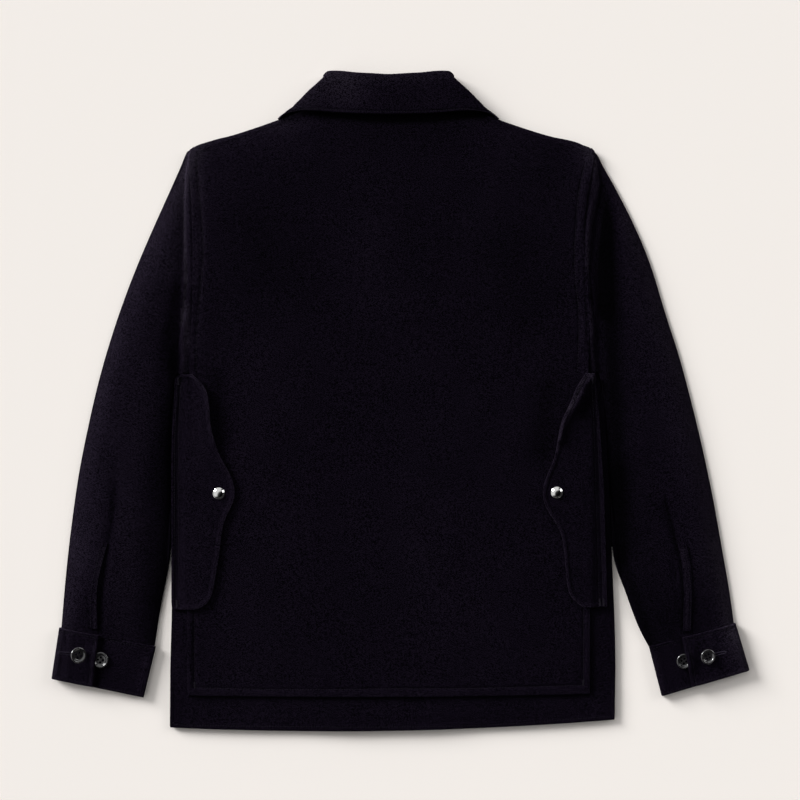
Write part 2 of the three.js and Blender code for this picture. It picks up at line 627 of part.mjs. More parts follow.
// A cuff is one strap wrapped round: it starts beneath the lap, goes round the inner fold,
// under the wrist, round the outer fold and ends on top of its own start. Each point of the
// path has its place across the cuff and its height, and the way its outer face looks.
function cuffPath(width, lap) {
  const { under, lower, upper } = CUFF_MIDDLE;
  const half = CUFF_CLOTH / 2;
  const path = [];
  const point = (w, z, outW, outZ, onLap) => path.push({ w, z, outW, outZ, onLap });
  const turn = (w, low, high, first, side) => {
    const radius = (high - low) / 2;
    const angles = first > 0 ? EDGE_ANGLES.slice().reverse() : EDGE_ANGLES;
    angles.forEach((angle) => {
      const a = degToRad(angle);
      const outW = side * Math.cos(a);
      point(w + radius * outW, low + radius + radius * Math.sin(a), outW, Math.sin(a), false);
    });
  };
  const innerTurn = width - half - (lower - under) / 2;
  const outerTurn = half + (upper - under) / 2;
  const start = lap - CUFF_UNDERLAP;
  CUFF_STOPS.lower.forEach((stop) => point(start + stop, lower, 0, 1, false));
  turn(innerTurn, under, lower, 1, 1);
  CUFF_STOPS.under.forEach((share) => point(lerp(outerTurn, innerTurn, share), under, 0, -1, false));
  turn(outerTurn, under, upper, -1, -1);
  CUFF_STOPS.upper.forEach((share) => point(lerp(outerTurn, lap, share), upper, 0, 1, false));
  CUFF_STOPS.lap.forEach((stop) => point(lap - stop, upper, 0, 1, true));
  return path;
}

// How much of its lift the lap has at a distance from its edge and down from the button.
function lapLift(fromEdge, fromButton) {
  const across = 1 - between(LAP_LIFT_END, LAP_LIFT_START, fromEdge);
  return across * (1 - between(LAP_LIFT_SPREAD.full, LAP_LIFT_SPREAD.none, fromButton));
}

function cuff(name, size) {
  const [topOut, topIn, endOut, endIn, button] = [
    size.topOut, size.topIn, size.endOut, size.endIn, size.lapButton,
  ].map((corner) => new THREE.Vector2(...corner));
  const faces = [-CUFF_CLOTH / 2, CUFF_CLOTH / 2].map((distance) =>
    CUFF_RINGS.map((v) => {
      const out = topOut.clone().lerp(endOut, v);
      const inner = topIn.clone().lerp(endIn, v);
      const width = out.distanceTo(inner);
      const across = inner.clone().sub(out).divideScalar(width);
      const lap = lerp(size.lapTop, size.lapEnd, v);
      return cuffPath(width, lap).map((step) => {
        const w = step.w + distance * step.outW;
        const place = out.clone().addScaledVector(across, w);
        const lift = step.onLap ? LAP_LIFT * lapLift(lap - w, alongCuff(size, place, button)) : 0;
        return new THREE.Vector3(place.x, place.y, step.z + distance * step.outZ + lift);
      });
    }),
  );
  return add(name, wall(faces[0], faces[1], false), WOOL);
}

// Distance between two places measured down the cuff, from the sleeve to the wrist.
function alongCuff(cuffSize, a, b) {
  const down = new THREE.Vector2(...cuffSize.endOut).sub(new THREE.Vector2(...cuffSize.topOut)).normalize();
  return Math.abs(a.clone().sub(b).dot(down));
}

function lathe(profile, radius, height) {
  const points = profile.map((row) => new THREE.Vector2(row.share * radius, row.height * height));
  const geometry = new THREE.LatheGeometry(points, ROUND_SIDES);
  geometry.rotateX(Math.PI / 2);
  return geometry;
}

// A closed geometry as a solid for cutting.
function solidOf(geometry) {
  const bare = geometry.clone();
  bare.deleteAttribute("normal");
  bare.deleteAttribute("uv");
  const merged = mergeVertices(bare, 1e-4);
  return new wasm.Manifold(
    new wasm.Mesh({
      numProp: 3,
      vertProperties: merged.attributes.position.array,
      triVerts: new Uint32Array(merged.index.array),
    }),
  );
}

function geometryOf(solid) {
  const mesh = solid.getMesh();
  const geometry = new THREE.BufferGeometry();
  geometry.setAttribute("position", new THREE.BufferAttribute(mesh.vertProperties, 3));
  geometry.setIndex(new THREE.BufferAttribute(mesh.triVerts, 1));
  geometry.computeVertexNormals();
  return geometry;
}

function buttonGeometry() {
  let body = solidOf(lathe(BUTTON_PROFILE, BUTTON_RADIUS, BUTTON_THICK));
  for (const sx of [-1, 1]) {
    for (const sy of [-1, 1]) {
      const hole = new THREE.CylinderGeometry(
        BUTTON_HOLE.radius,
        BUTTON_HOLE.radius,
        4 * BUTTON_THICK,
        BUTTON_HOLE.sides,
      );
      hole.rotateX(Math.PI / 2);
      hole.translate(sx * BUTTON_HOLE.spread, sy * BUTTON_HOLE.spread, 0);
      body = body.subtract(solidOf(hole));
    }
  }
  return geometryOf(body);
}

// A strip along the sleeve's slit, laid on the sleeve's upper face.
function placket(name, path, rings, side) {
  const lines = path.map(({ x, y }) => [0, 0.5, 1].map((u) => [x + side * u * PLACKET_WIDTH, y]));
  const inside = lines.map((line) =>
    line.map(([x, y]) => new THREE.Vector3(x, y, sleeveHeightAt(rings, x, y) + GAP)),
  );
  const outside = inside.map((line) =>
    line.map((p) => new THREE.Vector3(p.x, p.y, p.z + PLACKET_CLOTH)),
  );
  return add(name, wall(inside, outside, false), WOOL);
}

// Height of a sleeve's upper face at a place, read between the two rings around it.
function sleeveHeightAt(rings, x, y) {
  for (let i = 0; i + 1 < rings.length; i++) {
    const a = sleeveShare(rings[i], x, y);
    const b = sleeveShare(rings[i + 1], x, y);
    if (a.past >= 0 && b.past <= 0) {
      const t = a.past / (a.past - b.past);
      return lerp(sleeveTop(rings[i], a.share), sleeveTop(rings[i + 1], b.share), t);
    }
  }
  return sleeveTop(rings[rings.length - 1], 0.5);
}

// A place's share along a ring, and how far past the ring it lies towards the cuff.
function sleeveShare(ring, x, y) {
  const out = new THREE.Vector2(ring.outX, ring.outY);
  const across = new THREE.Vector2(ring.inX, ring.inY).sub(out);
  const width = across.length();
  across.divideScalar(width);
  const from = new THREE.Vector2(x, y).sub(out);
  const share = Math.min(Math.max(from.dot(across) / width, 0), 1);
  const turn = Math.sign(ring.inX - ring.outX) || 1;
  return { share, past: -turn * (across.x * from.y - across.y * from.x) };
}

// The collar's section as rows: height on its part, depth from the loop's middle plane,
// spread, and the way its outer face looks.
function collarSection() {
  const rows = [];
  const middle = (FALL_DEPTH + STAND_DEPTH) / 2;
  const bend = (FALL_DEPTH - STAND_DEPTH) / 2;
  const crown = bend + COLLAR_CLOTH / 2;
  COLLAR_FALL.forEach((row) => {
    rows.push({ part: "fall", ...row, depth: FALL_DEPTH, rise: -crown * row.height, out: 1, up: 0 });
  });
  for (let i = 1; i < ROLL_STEPS; i++) {
    const a = (Math.PI * i) / ROLL_STEPS;
    rows.push({
      part: "fall",
      height: 1,
      spread: COLLAR_STAND[0].spread,
      depth: middle + bend * Math.cos(a),
      rise: -crown + bend * Math.sin(a),
      out: Math.cos(a),
      up: Math.sin(a),
    });
  }
  COLLAR_STAND.forEach((row) => {
    rows.push({ part: "stand", ...row, depth: STAND_DEPTH, rise: -crown * row.height, out: -1, up: 0 });
  });
  return rows;
}

// Places along the flattened loop, from the left leaf's end round the back to the right one.
function collarStations() {
  const stations = [];
  for (let i = 0; i < COLLAR_FRONT_STEPS; i++) {
    stations.push({ side: -1, front: 1, along: i / COLLAR_FRONT_STEPS, turn: -90 });
  }
  for (let i = 0; i < COLLAR_TURN_STEPS; i++) {
    stations.push({ side: -1, front: null, along: 1, turn: -90 + (180 * i) / COLLAR_TURN_STEPS });
  }
  for (let i = 0; i <= COLLAR_BACK_STEPS; i++) {
    const along = (2 * i) / COLLAR_BACK_STEPS - 1;
    stations.push({ side: Math.sign(along) || 1, front: 0, along: Math.abs(along), turn: 90 });
  }
  for (let i = 1; i <= COLLAR_TURN_STEPS; i++) {
    stations.push({ side: 1, front: null, along: 1, turn: 90 - (180 * i) / COLLAR_TURN_STEPS });
  }
  for (let i = 1; i <= COLLAR_FRONT_STEPS; i++) {
    stations.push({ side: 1, front: 1, along: 1 - i / COLLAR_FRONT_STEPS, turn: -90 });
  }
  return stations;
}

// One point of the collar's face: face is 1 on the side that shows and -1 behind it.
function collarPoint(row, station, face) {
  const half = COLLAR_CLOTH / 2;
  const depth = row.depth + face * half * row.out;
  const angle = degToRad(station.turn);
  const leaf = LEAF_END + (row.part === "fall" ? LEAF_POINT * (1 - row.height) : 0);
  let x = row.spread + depth * Math.cos(angle);
  if (station.front === 1) {
    x = lerp(leaf, row.spread, station.along);
  } else if (station.front === 0) {
    x = row.spread * station.along;
  }
  const share = Math.min(x / (row.spread + COLLAR_MIDDLE_Z), 1);
  const frontness = (1 - Math.sin(angle)) / 2;
  const drop = neckDrop(share);
  const rollBack = read(ROLL_LINE_BACK, "share", share, "y");
  const rollFront = rollBack - drop;
  const isFall = row.part === "fall";
  const edgeBack = isFall ? read(FALL_EDGE_BACK, "share", share, "y") : STAND_SEAM;
  const edgeFront = isFall ? read(LEAF_EDGE_FRONT, "share", share, "y") : STAND_SEAM - drop;
  const back = lerp(edgeBack, rollBack, row.height);
  const front = lerp(edgeFront, rollFront, row.height);
  const y = lerp(back, front, frontness) + row.rise + face * half * row.up;
  const z = COLLAR_MIDDLE_Z + depth * Math.sin(angle);
  return new THREE.Vector3(NECK_X + station.side * x, y, z);
}

function collar() {
  const section = collarSection();
  const faces = [-1, 1].map((face) =>
    collarStations().map((station) => section.map((row) => collarPoint(row, station, face))),
  );
  return add("collar", wall(faces[0], faces[1], false), WOOL);
}

panel("front_left", frontPlan(-1), frontUnder, CLOTH);
panel("front_right", frontPlan(1), lappedFrontUnder, CLOTH);
panel("back", planGrid(BACK_ROWS, COLUMNS), backUnder, CLOTH);
panel("back_pocket_panel", pocketPanelPlan(), panelUnder, CLOTH);
panel("pocket_flap_left", flapPlan(FLAP_LEFT_ROWS, "left"), (x, y) => flapUnder(x, y, "left"), FLAP_CLOTH);
panel("pocket_flap_right", flapPlan(FLAP_RIGHT_ROWS, "right"), (x, y) => flapUnder(x, y, "right"), FLAP_CLOTH);
for (const snap of SNAPS) {
  const mesh = add(snap.name, lathe(SNAP_PROFILE, SNAP_RADIUS, 1), NICKEL);
  const level = flapUnder(snap.x, snap.y, snap.side) + FLAP_CLOTH + GAP;
  mesh.position.set(snap.x, snap.y, level);
}
sleeve("sleeve_left", SLEEVE_LEFT_RINGS, -1);
sleeve("sleeve_right", SLEEVE_RIGHT_RINGS, 1);
placket("sleeve_placket_left", PLACKET_PATHS.left, SLEEVE_LEFT_RINGS, -1);
placket("sleeve_placket_right", PLACKET_PATHS.right, SLEEVE_RIGHT_RINGS, 1);
for (const side of ["left", "right"]) {
  const size = CUFFS[side];
  cuff("cuff_" + side, size);
  const topButton = add("cuff_button_" + side + "_1", buttonGeometry(), BUTTON_FINISH);
  const tilt = degToRad(BUTTON_TILT) * (side === "left" ? 1 : -1);
  const rise = BUTTON_RADIUS * Math.sin(degToRad(BUTTON_TILT));
  topButton.rotation.set(0, tilt, 0);
  topButton.position.set(...size.topButton, CUFF_MIDDLE.upper + CUFF_CLOTH / 2 + GAP + rise);
  const spareButton = add("cuff_button_" + side + "_2", buttonGeometry(), BUTTON_FINISH);
  spareButton.position.set(...size.lapButton, CUFF_MIDDLE.lower + CUFF_CLOTH / 2 + GAP);
}
collar();

// The origin is the middle of the footprint, on the surface.
const extent = new THREE.Box3().setFromObject(jacket);
const middle = extent.getCenter(new THREE.Vector3());
jacket.position.set(-middle.x, -middle.y, -extent.min.z);

export default jacket;
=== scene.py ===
# %% [markdown]
# # A wool mackinaw jacket, laid flat on its front
#
# The jacket lies face down on a pale table and we look straight down on its back. The packed
# model gives every piece its place and size. This script gives each piece its cloth: soft
# rounded rims, seams pressed into the wool, topstitching, buttons and snaps. Everything here
# is in metres, so the sizes below are millimetres times MM.

import json
import math

import bmesh
import bpy
import numpy as np
from mathutils import Matrix, Vector
from mathutils.bvhtree import BVHTree
from mathutils.kdtree import KDTree

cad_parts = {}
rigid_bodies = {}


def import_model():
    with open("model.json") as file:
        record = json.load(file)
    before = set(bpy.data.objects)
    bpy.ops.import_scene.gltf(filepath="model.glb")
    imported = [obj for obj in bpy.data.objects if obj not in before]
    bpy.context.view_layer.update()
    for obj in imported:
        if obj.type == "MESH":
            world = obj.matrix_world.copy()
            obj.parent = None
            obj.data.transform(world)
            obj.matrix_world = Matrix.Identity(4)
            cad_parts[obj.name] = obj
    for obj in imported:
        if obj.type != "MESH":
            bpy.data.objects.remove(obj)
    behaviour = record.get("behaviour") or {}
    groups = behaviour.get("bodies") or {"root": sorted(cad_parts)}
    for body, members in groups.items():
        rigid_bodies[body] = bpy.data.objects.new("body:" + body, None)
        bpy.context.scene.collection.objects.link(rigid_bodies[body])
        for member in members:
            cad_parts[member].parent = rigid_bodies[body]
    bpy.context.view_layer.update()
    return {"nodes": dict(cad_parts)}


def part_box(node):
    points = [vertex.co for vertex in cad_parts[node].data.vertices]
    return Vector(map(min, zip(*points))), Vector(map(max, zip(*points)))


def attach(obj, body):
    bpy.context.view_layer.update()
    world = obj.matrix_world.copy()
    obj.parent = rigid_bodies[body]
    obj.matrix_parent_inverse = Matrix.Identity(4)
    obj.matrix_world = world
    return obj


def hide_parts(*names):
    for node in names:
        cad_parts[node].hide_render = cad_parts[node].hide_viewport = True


for old in list(bpy.data.objects):
    bpy.data.objects.remove(old)

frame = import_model()
nodes = frame["nodes"]
MM = 0.001
scene = bpy.context.scene
print("nodes:", len(nodes))

# %% [markdown]
# ## The camera
#
# Flat garments are photographed from straight above, from far off, so that nothing leans.
# A long lens does the same here: 85 mm, over two metres up, with 960 mm in view.

# %% Camera
LENS = 85.0
SENSOR = 36.0
VIEW_WIDTH = 960 * MM
VIEW_MIDDLE = (-0.6 * MM, 0.6 * MM)
VIEW_LEVEL = 8 * MM
FAR_CLIP = 20

camera_data = bpy.data.cameras.new("camera")
camera_data.lens = LENS
camera_data.sensor_width = SENSOR
camera_data.clip_end = FAR_CLIP
camera = bpy.data.objects.new("camera", camera_data)
scene.collection.objects.link(camera)
camera_height = VIEW_LEVEL + VIEW_WIDTH * LENS / SENSOR
camera.location = (*VIEW_MIDDLE, camera_height)
scene.camera = camera
print("camera height:", round(camera_height, 3))

# %% [markdown]
# ## A small language for materials
#
# A shader is arithmetic on sockets. Written node by node it is long and hard to read, so one
# class wraps a socket and lets Python's own operators add the Math nodes. Colours and vectors
# can't go through a Math node, so they have their own calls.


# %% Socket arithmetic
class Val:
    """A socket in a shader tree. Operators on it add Math nodes."""

    def __init__(self, paint, socket):
        self.paint = paint
        self.socket = socket

    def math(self, operation, *others):
        inputs = {0: self, **dict(enumerate(others, 1))}
        return self.paint.node("ShaderNodeMath", {"operation": operation}, inputs)

    def __add__(self, other):
        return self.math("ADD", other)

    def __sub__(self, other):
        return self.math("SUBTRACT", other)

    def __mul__(self, other):
        return self.math("MULTIPLY", other)

    def __rsub__(self, other):
        return self.paint.node("ShaderNodeMath", {"operation": "SUBTRACT"}, {0: other, 1: self})

    __radd__ = __add__
    __rmul__ = __mul__


class Paint:
    """A material's tree. Its node method adds any node."""

    def __init__(self, name):
        self.material = bpy.data.materials.new(name)
        self.material.use_nodes = True
        self.tree = self.material.node_tree
        self.shader = self.tree.nodes["Principled BSDF"]

    def node(self, kind, settings=None, inputs=None, output=0):
        made = self.tree.nodes.new(kind)
        for key, value in (settings or {}).items():
            if key == "stops":
                self.stops(made.color_ramp, value)
            else:
                setattr(made, key, value)
        for key, value in (inputs or {}).items():
            self.feed(made.inputs[key], value)
        return Val(self, made.outputs[output])

    def stops(self, ramp, stops):
        while len(ramp.elements) < len(stops):
            ramp.elements.new(0.5)
        for element, (place, level) in zip(ramp.elements, stops):
            element.position = place
            element.color = (level, level, level, 1)

    def feed(self, socket, value):
        if isinstance(value, Val):
            self.tree.links.new(value.socket, socket)
        else:
            socket.default_value = value

    def point(self, scale):
        """The place on the object, in units of 1 / scale metres."""
        at = self.node("ShaderNodeTexCoord", output="Object")
        return self.node("ShaderNodeVectorMath", {"operation": "SCALE"}, {0: at, "Scale": scale})

    def noise(self, at, scale, detail=2.0, roughness=0.5):
        values = {"Vector": at, "Scale": scale, "Detail": detail, "Roughness": roughness}
        return self.node("ShaderNodeTexNoise", {}, values)

    def mix(self, share, first, second):
        values = {"Factor": share, 6: first, 7: second}
        return self.node("ShaderNodeMix", {"data_type": "RGBA"}, values, output=2)

    def bump(self, height, distance, strength=1.0):
        values = {"Height": height, "Distance": distance, "Strength": strength}
        return self.node("ShaderNodeBump", {}, values)

    def principled(self, **values):
        for key, value in values.items():
            self.feed(self.shader.inputs[key.replace("_", " ")], value)
        return self.material


# %% [markdown]
# ## Mackinaw wool
#
# Mackinaw is a heavy twill that is milled until its weave closes into felt. It looks black,
# but each fibre has a little violet brown in it, and the nap lies in small tufts that catch
# the light. Noise at three sizes does this: tufts, a finer grain for the fibres, and broad
# patches where the nap lies another way. The faint diagonal of the twill shows through.
# Light and shade are also painted into the colour: each piece carries a number at its points that paints
# the wool paler where light would catch folds and rims, and darker where shade would fall beside and under
# them.

# %% Wool material
WOOL_DARK = (0.0001, 0.0, 0.0003, 1)
WOOL_LIGHT = (0.0054, 0.0037, 0.0078, 1)
WOOL_PAINTED_HIGHLIGHT = (0.0056, 0.0045, 0.0069, 1)  # painted highlight colour, mixed in where light is painted
PAINTED_HIGHLIGHT_SHARE = 0.45
DARKEST_PAINTED_SHADE = 0.15  # the least brightness that painted shade leaves of the colour
TUFT_SCALE = 0.5  # per millimetre
FIBRE_SCALE = 1.0
PATCH_SCALE = 0.02
TWILL_PITCH = 1.9  # millimetres between twill lines
TWILL_ANGLE = math.radians(58)
WAVE_PERIOD = 0.314  # of a wave texture whose scale is 1
GRAIN = {"tuft": 0.62, "fibre": 1.33, "patch": 0.1, "twill": 0.12}
GRAIN_START = 0.96  # below this the wool is at its darkest
GRAIN_GAIN = 4.8
RELIEF = {"tuft": 0.5, "fibre": 0.35, "twill": 0.12}
RELIEF_DEPTH = 0.6 * MM


def make_wool(name):
    paint = Paint(name)
    at = paint.point(1 / MM)
    tuft = paint.noise(at, TUFT_SCALE, 3.0, 0.6)
    fibre = paint.noise(at, FIBRE_SCALE, 2.0, 0.7)
    patch = paint.noise(at, PATCH_SCALE, 2.0, 0.5)
    turned = {"Vector": at, "Angle": TWILL_ANGLE}
    wave_at = paint.node("ShaderNodeVectorRotate", {"rotation_type": "Z_AXIS"}, turned)
    wave = {"Vector": wave_at, "Scale": WAVE_PERIOD / TWILL_PITCH, "Distortion": 2.6}
    twill = paint.node(
        "ShaderNodeTexWave",
        {"wave_type": "BANDS", "bands_direction": "X"},
        {**wave, "Detail": 2.0, "Detail Scale": 1.4},
        output="Fac",
    )
    grain = tuft * GRAIN["tuft"] + fibre * GRAIN["fibre"] + patch * GRAIN["patch"] + twill * GRAIN["twill"]
    steep = (grain - GRAIN_START) * GRAIN_GAIN
    share = paint.node("ShaderNodeValToRGB", {"stops": [(0.0, 0.0), (1.0, 1.0)]}, {0: steep})
    # Painted light and shade: a number at each point tints the colour paler and scales it brighter or
    # darker.
    nap = paint.node("ShaderNodeAttribute", {"attribute_name": "nap"}, output="Fac")
    painted_highlight = paint.mix(nap * PAINTED_HIGHLIGHT_SHARE, WOOL_LIGHT, WOOL_PAINTED_HIGHLIGHT)
    painted_gain = paint.node("ShaderNodeMath", {"operation": "MAXIMUM"}, {0: nap + 1.0, 1: DARKEST_PAINTED_SHADE})
    mottled = paint.mix(share, WOOL_DARK, painted_highlight)
    colour = paint.node("ShaderNodeVectorMath", {"operation": "SCALE"}, {0: mottled, "Scale": painted_gain})
    height = tuft * RELIEF["tuft"] + fibre * RELIEF["fibre"] + twill * RELIEF["twill"]
    return paint.principled(
        Base_Color=colour,
        Roughness=1.0,
        Specular_IOR_Level=0.01,
        Sheen_Weight=0.045,
        Sheen_Roughness=0.3,
        Sheen_Tint=(0.82, 0.62, 1.0, 1),
        Normal=paint.bump(height, RELIEF_DEPTH, 0.9),
    )


wool = make_wool("mackinaw_wool")
print("material:", wool.name)

# %% [markdown]
# ## Thread, horn black plastic and nickel
#
# The thread is a lustrous cotton, a little lighter than the wool, which is why each seam
# shows as a fine broken line. The buttons are cast and polished. The snap caps are nickel
# plated, with the faint haze that plating gets from handling.

# %% Other materials
THREAD_DARK = (0.0035, 0.0026, 0.005)
THREAD_LIGHT = (0.011, 0.009, 0.0145)
HOLE_THREAD_PAINTED_LIGHT = 2.6  # painted light: the buttonhole's thread is painted brighter than the same thread elsewhere
TWIST_SCALE = 1.6  # per millimetre
BUTTON_DARK = (0.008, 0.0075, 0.0085, 1)
BUTTON_LIGHT = (0.019, 0.018, 0.02, 1)
NICKEL_DARK = (0.6, 0.59, 0.58, 1)
NICKEL_LIGHT = (0.84, 0.84, 0.83, 1)


def make_thread(name, light):
    paint = Paint(name)
    at = paint.point(1 / MM)
    twist = paint.noise(at, TWIST_SCALE, 2.0, 0.5)
    dark = (*(light * level for level in THREAD_DARK), 1)
    bright = (*(light * level for level in THREAD_LIGHT), 1)
    return paint.principled(
        Base_Color=paint.mix(twist, dark, bright),
        Roughness=0.7,
        Specular_IOR_Level=0.06,
        Normal=paint.bump(twist, 0.1 * MM),
    )


def make_button():
    paint = Paint("button_black")
    at = paint.point(1 / MM)
    cloud = paint.noise(at, 0.25, 2.0, 0.5)
    wear = paint.noise(at, 1.4, 3.0, 0.6)
    return paint.principled(
        Base_Color=paint.mix(cloud, BUTTON_DARK, BUTTON_LIGHT),
        Roughness=wear * 0.1 + 0.12,
        Specular_IOR_Level=0.7,
        Coat_Weight=0.8,
        Coat_Roughness=0.05,
    )


def make_nickel():
    paint = Paint("nickel")
    at = paint.point(1 / MM)
    haze = paint.noise(at, 0.8, 3.0, 0.6)
    colour = paint.mix(haze, NICKEL_DARK, NICKEL_LIGHT)
    return paint.principled(Base_Color=colour, Metallic=1.0, Roughness=haze * 0.08 + 0.05)


thread = make_thread("thread", 1.0)
# A copy of the thread with painted light, for the buttonholes.
painted_light_hole_thread = make_thread("buttonhole_thread_painted_light", HOLE_THREAD_PAINTED_LIGHT)
button_black = make_button()
nickel = make_nickel()
print("materials:", thread.name, painted_light_hole_thread.name, button_black.name, nickel.name)

# %% [markdown]
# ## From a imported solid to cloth
#
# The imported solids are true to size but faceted, with square rims. Cloth never has a square
# rim. A copy of the solid is merged, its triangle pairs become quads again, the rims get a
# small bevel, and subdivision makes the rest run smooth. That keeps the piece exactly where
# the model has it, which drawing it anew wouldn't.


# %% Smooth shells
MERGE = 0.01 * MM
QUAD_ANGLE = math.radians(45)  # the most that two triangles of one quad may bend
QUAD_SKEW = math.radians(80)
RIM_ANGLE = math.radians(55)  # a sharper edge than this is a rim


def put(name, mesh, material, covers=()):
    """Links a finished mesh as a piece of the jacket, standing for the named CAD nodes."""
    piece = bpy.data.objects.new(name, mesh)
    scene.collection.objects.link(piece)
    mesh.materials.clear()
    mesh.materials.append(material)
    mesh.polygons.foreach_set("use_smooth", [True] * len(mesh.polygons))
    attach(piece, "root")
    if covers:
        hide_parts(*covers)
    return piece


def plain(mesh, modifiers):
    """A mesh with modifiers applied, given as (kind, settings)."""
    holder = bpy.data.objects.new("holder", mesh)
    scene.collection.objects.link(holder)
    for kind, settings in modifiers:
        modifier = holder.modifiers.new(kind, kind)
        for key, value in settings.items():
            setattr(modifier, key, value)
    graph = bpy.context.evaluated_depsgraph_get()
    made = bpy.data.meshes.new_from_object(holder.evaluated_get(graph))
    bpy.data.objects.remove(holder)
    return made


def hold_size(mesh, rounds=3):
    """Moves a mesh's points out so that its smooth surface passes through where they were.

    Subdivision draws a shape in. Each round gives the points back what they lost.
    """
    wanted = np.empty(len(mesh.vertices) * 3)
    mesh.vertices.foreach_get("co", wanted)
    given = wanted.copy()
    for _ in range(rounds):
        smooth = plain(mesh, [("SUBSURF", {"levels": 1, "render_levels": 1})])
        got = np.empty(len(smooth.vertices) * 3)
        smooth.vertices.foreach_get("co", got)
        given += wanted - got[: len(wanted)]
        mesh.vertices.foreach_set("co", given)
        mesh.update()
        bpy.data.meshes.remove(smooth)


def smooth_shell(node, levels, rim):
    """A smooth copy of a CAD node with rounded rims, as a mesh."""
    shell = bmesh.new()
    shell.from_mesh(nodes[node].data)
    bmesh.ops.remove_doubles(shell, verts=shell.verts, dist=MERGE)
    bmesh.ops.join_triangles(
        shell,
        faces=shell.faces,
        angle_face_threshold=QUAD_ANGLE,
        angle_shape_threshold=QUAD_SKEW,
    )
    rims = [edge for edge in shell.edges if edge.calc_face_angle(0) > RIM_ANGLE]
    bmesh.ops.bevel(
        shell, geom=rims, offset=rim, segments=2, profile=0.5, affect="EDGES", clamp_overlap=True
    )
    mesh = bpy.data.meshes.new(node + "_wool")
    shell.to_mesh(mesh)
    shell.free()
    hold_size(mesh)
    smooth = plain(mesh, [("SUBSURF", {"levels": levels, "render_levels": levels})])
    at = np.empty(len(smooth.vertices) * 3)
    smooth.vertices.foreach_get("co", at)
    at[2::3] = np.maximum(at[2::3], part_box(node)[0].z)  # the underside stays flat
    smooth.vertices.foreach_set("co", at)
    smooth.update()
    return smooth


# %% [markdown]
# ## Lines on cloth
#
# Seams, creases and stitch rows are all lines in plan, given as a few points in millimetres
# and smoothed. What they do to the cloth depends only on how far a point of it lies from the
# line and how far along the line it is, so one function measures both.


# %% Lines in plan
FAR = 1e9  # the distance given to a place that isn't measured


def smooth_line(points, step=2.0):
    """A Catmull-Rom line through points in millimetres, in even steps."""
    given = np.array(points, float)
    ends = np.vstack([2 * given[0] - given[1], given, 2 * given[-1] - given[-2]])
    out = []
    for a, b, c, d in zip(ends, ends[1:], ends[2:], ends[3:]):
        count = max(2, int(np.linalg.norm(c - b) / step))
        for t in np.arange(count) / count:
            square = (2 * a - 5 * b + 4 * c - d) * t**2
            cube = (3 * b - a - 3 * c + d) * t**3
            out.append(0.5 * (2 * b + (c - a) * t + square + cube))
    out.append(given[-1])
    return np.array(out)


def near(places, line, reach=60.0):
    """For places in plan: the distance to a line, which side they are on, and how far along.

    Places further off than the reach aren't measured. Every fourth point of a line is enough.
    """
    line = np.vstack([line[:-1:4], line[-1:]]) if len(line) > 8 else line
    low, high = line.min(axis=0) - reach, line.max(axis=0) + reach
    found = np.flatnonzero(((places > low) & (places < high)).all(axis=1))
    at = places[found]
    best, side, along = np.full(len(at), FAR), np.zeros(len(at)), np.zeros(len(at))
    walked = 0.0
    for a, b in zip(line, line[1:]):
        step = b - a
        length = np.linalg.norm(step)
        t = np.clip(((at - a) @ step) / length**2, 0, 1)
        off = at - (a + t[:, None] * step)
        distance = np.hypot(off[:, 0], off[:, 1])
        closer = distance < best
        best[closer] = distance[closer]
        side[closer] = np.sign(step[0] * off[closer, 1] - step[1] * off[closer, 0])
        along[closer] = walked + t[closer] * length
        walked += length
    whole = [np.full(len(places), FAR), np.zeros(len(places)), np.zeros(len(places))]
    for values, part in zip(whole, (best, side, along)):
        values[found] = part
    return whole


def soft(value, low, high):
    """A smooth step from 0 to 1 between two values."""
    t = np.clip((value - low) / (high - low), 0, 1)
    return t * t * (3 - 2 * t)


# %% [markdown]
# ## Reading and moving points
#
# A crease is pushed into the finished shell point by point. Only the side that faces up
# moves, in z, so the piece keeps its place on what it lies on.


# %% Points
RIM_SLANT = 0.35  # a point whose normal is flatter than this is on a rim
UP_SLANT = 0.25  # and one steeper than this is on the upper side
SPLIT_ROUNDS = 4


def read_points(mesh):
    places = np.empty(len(mesh.vertices) * 3)
    mesh.vertices.foreach_get("co", places)
    return places.reshape(-1, 3) / MM


def slants(mesh):
    """The z part of each point's normal."""
    normals = np.empty(len(mesh.vertices) * 3)
    mesh.vertices.foreach_get("normal", normals)
    return normals.reshape(-1, 3)[:, 2]


def facing_up(mesh):
    """How much each point faces up, from 0 to 1."""
    return np.clip(slants(mesh), 0, 1)


def rim_tree(mesh):
    """The points of a piece's rim, in plan, to be searched."""
    places = read_points(mesh)[np.abs(slants(mesh)) < RIM_SLANT]
    tree = KDTree(len(places))
    for i, (x, y, _) in enumerate(places):
        tree.insert((x, y, 0), i)
    tree.balance()
    return tree


def off_rim(tree, places):
    return np.array([tree.find((x, y, 0))[2] for x, y in places[:, :2]])


def write_points(mesh, places):
    mesh.vertices.foreach_set("co", (places * MM).ravel())
    mesh.update()


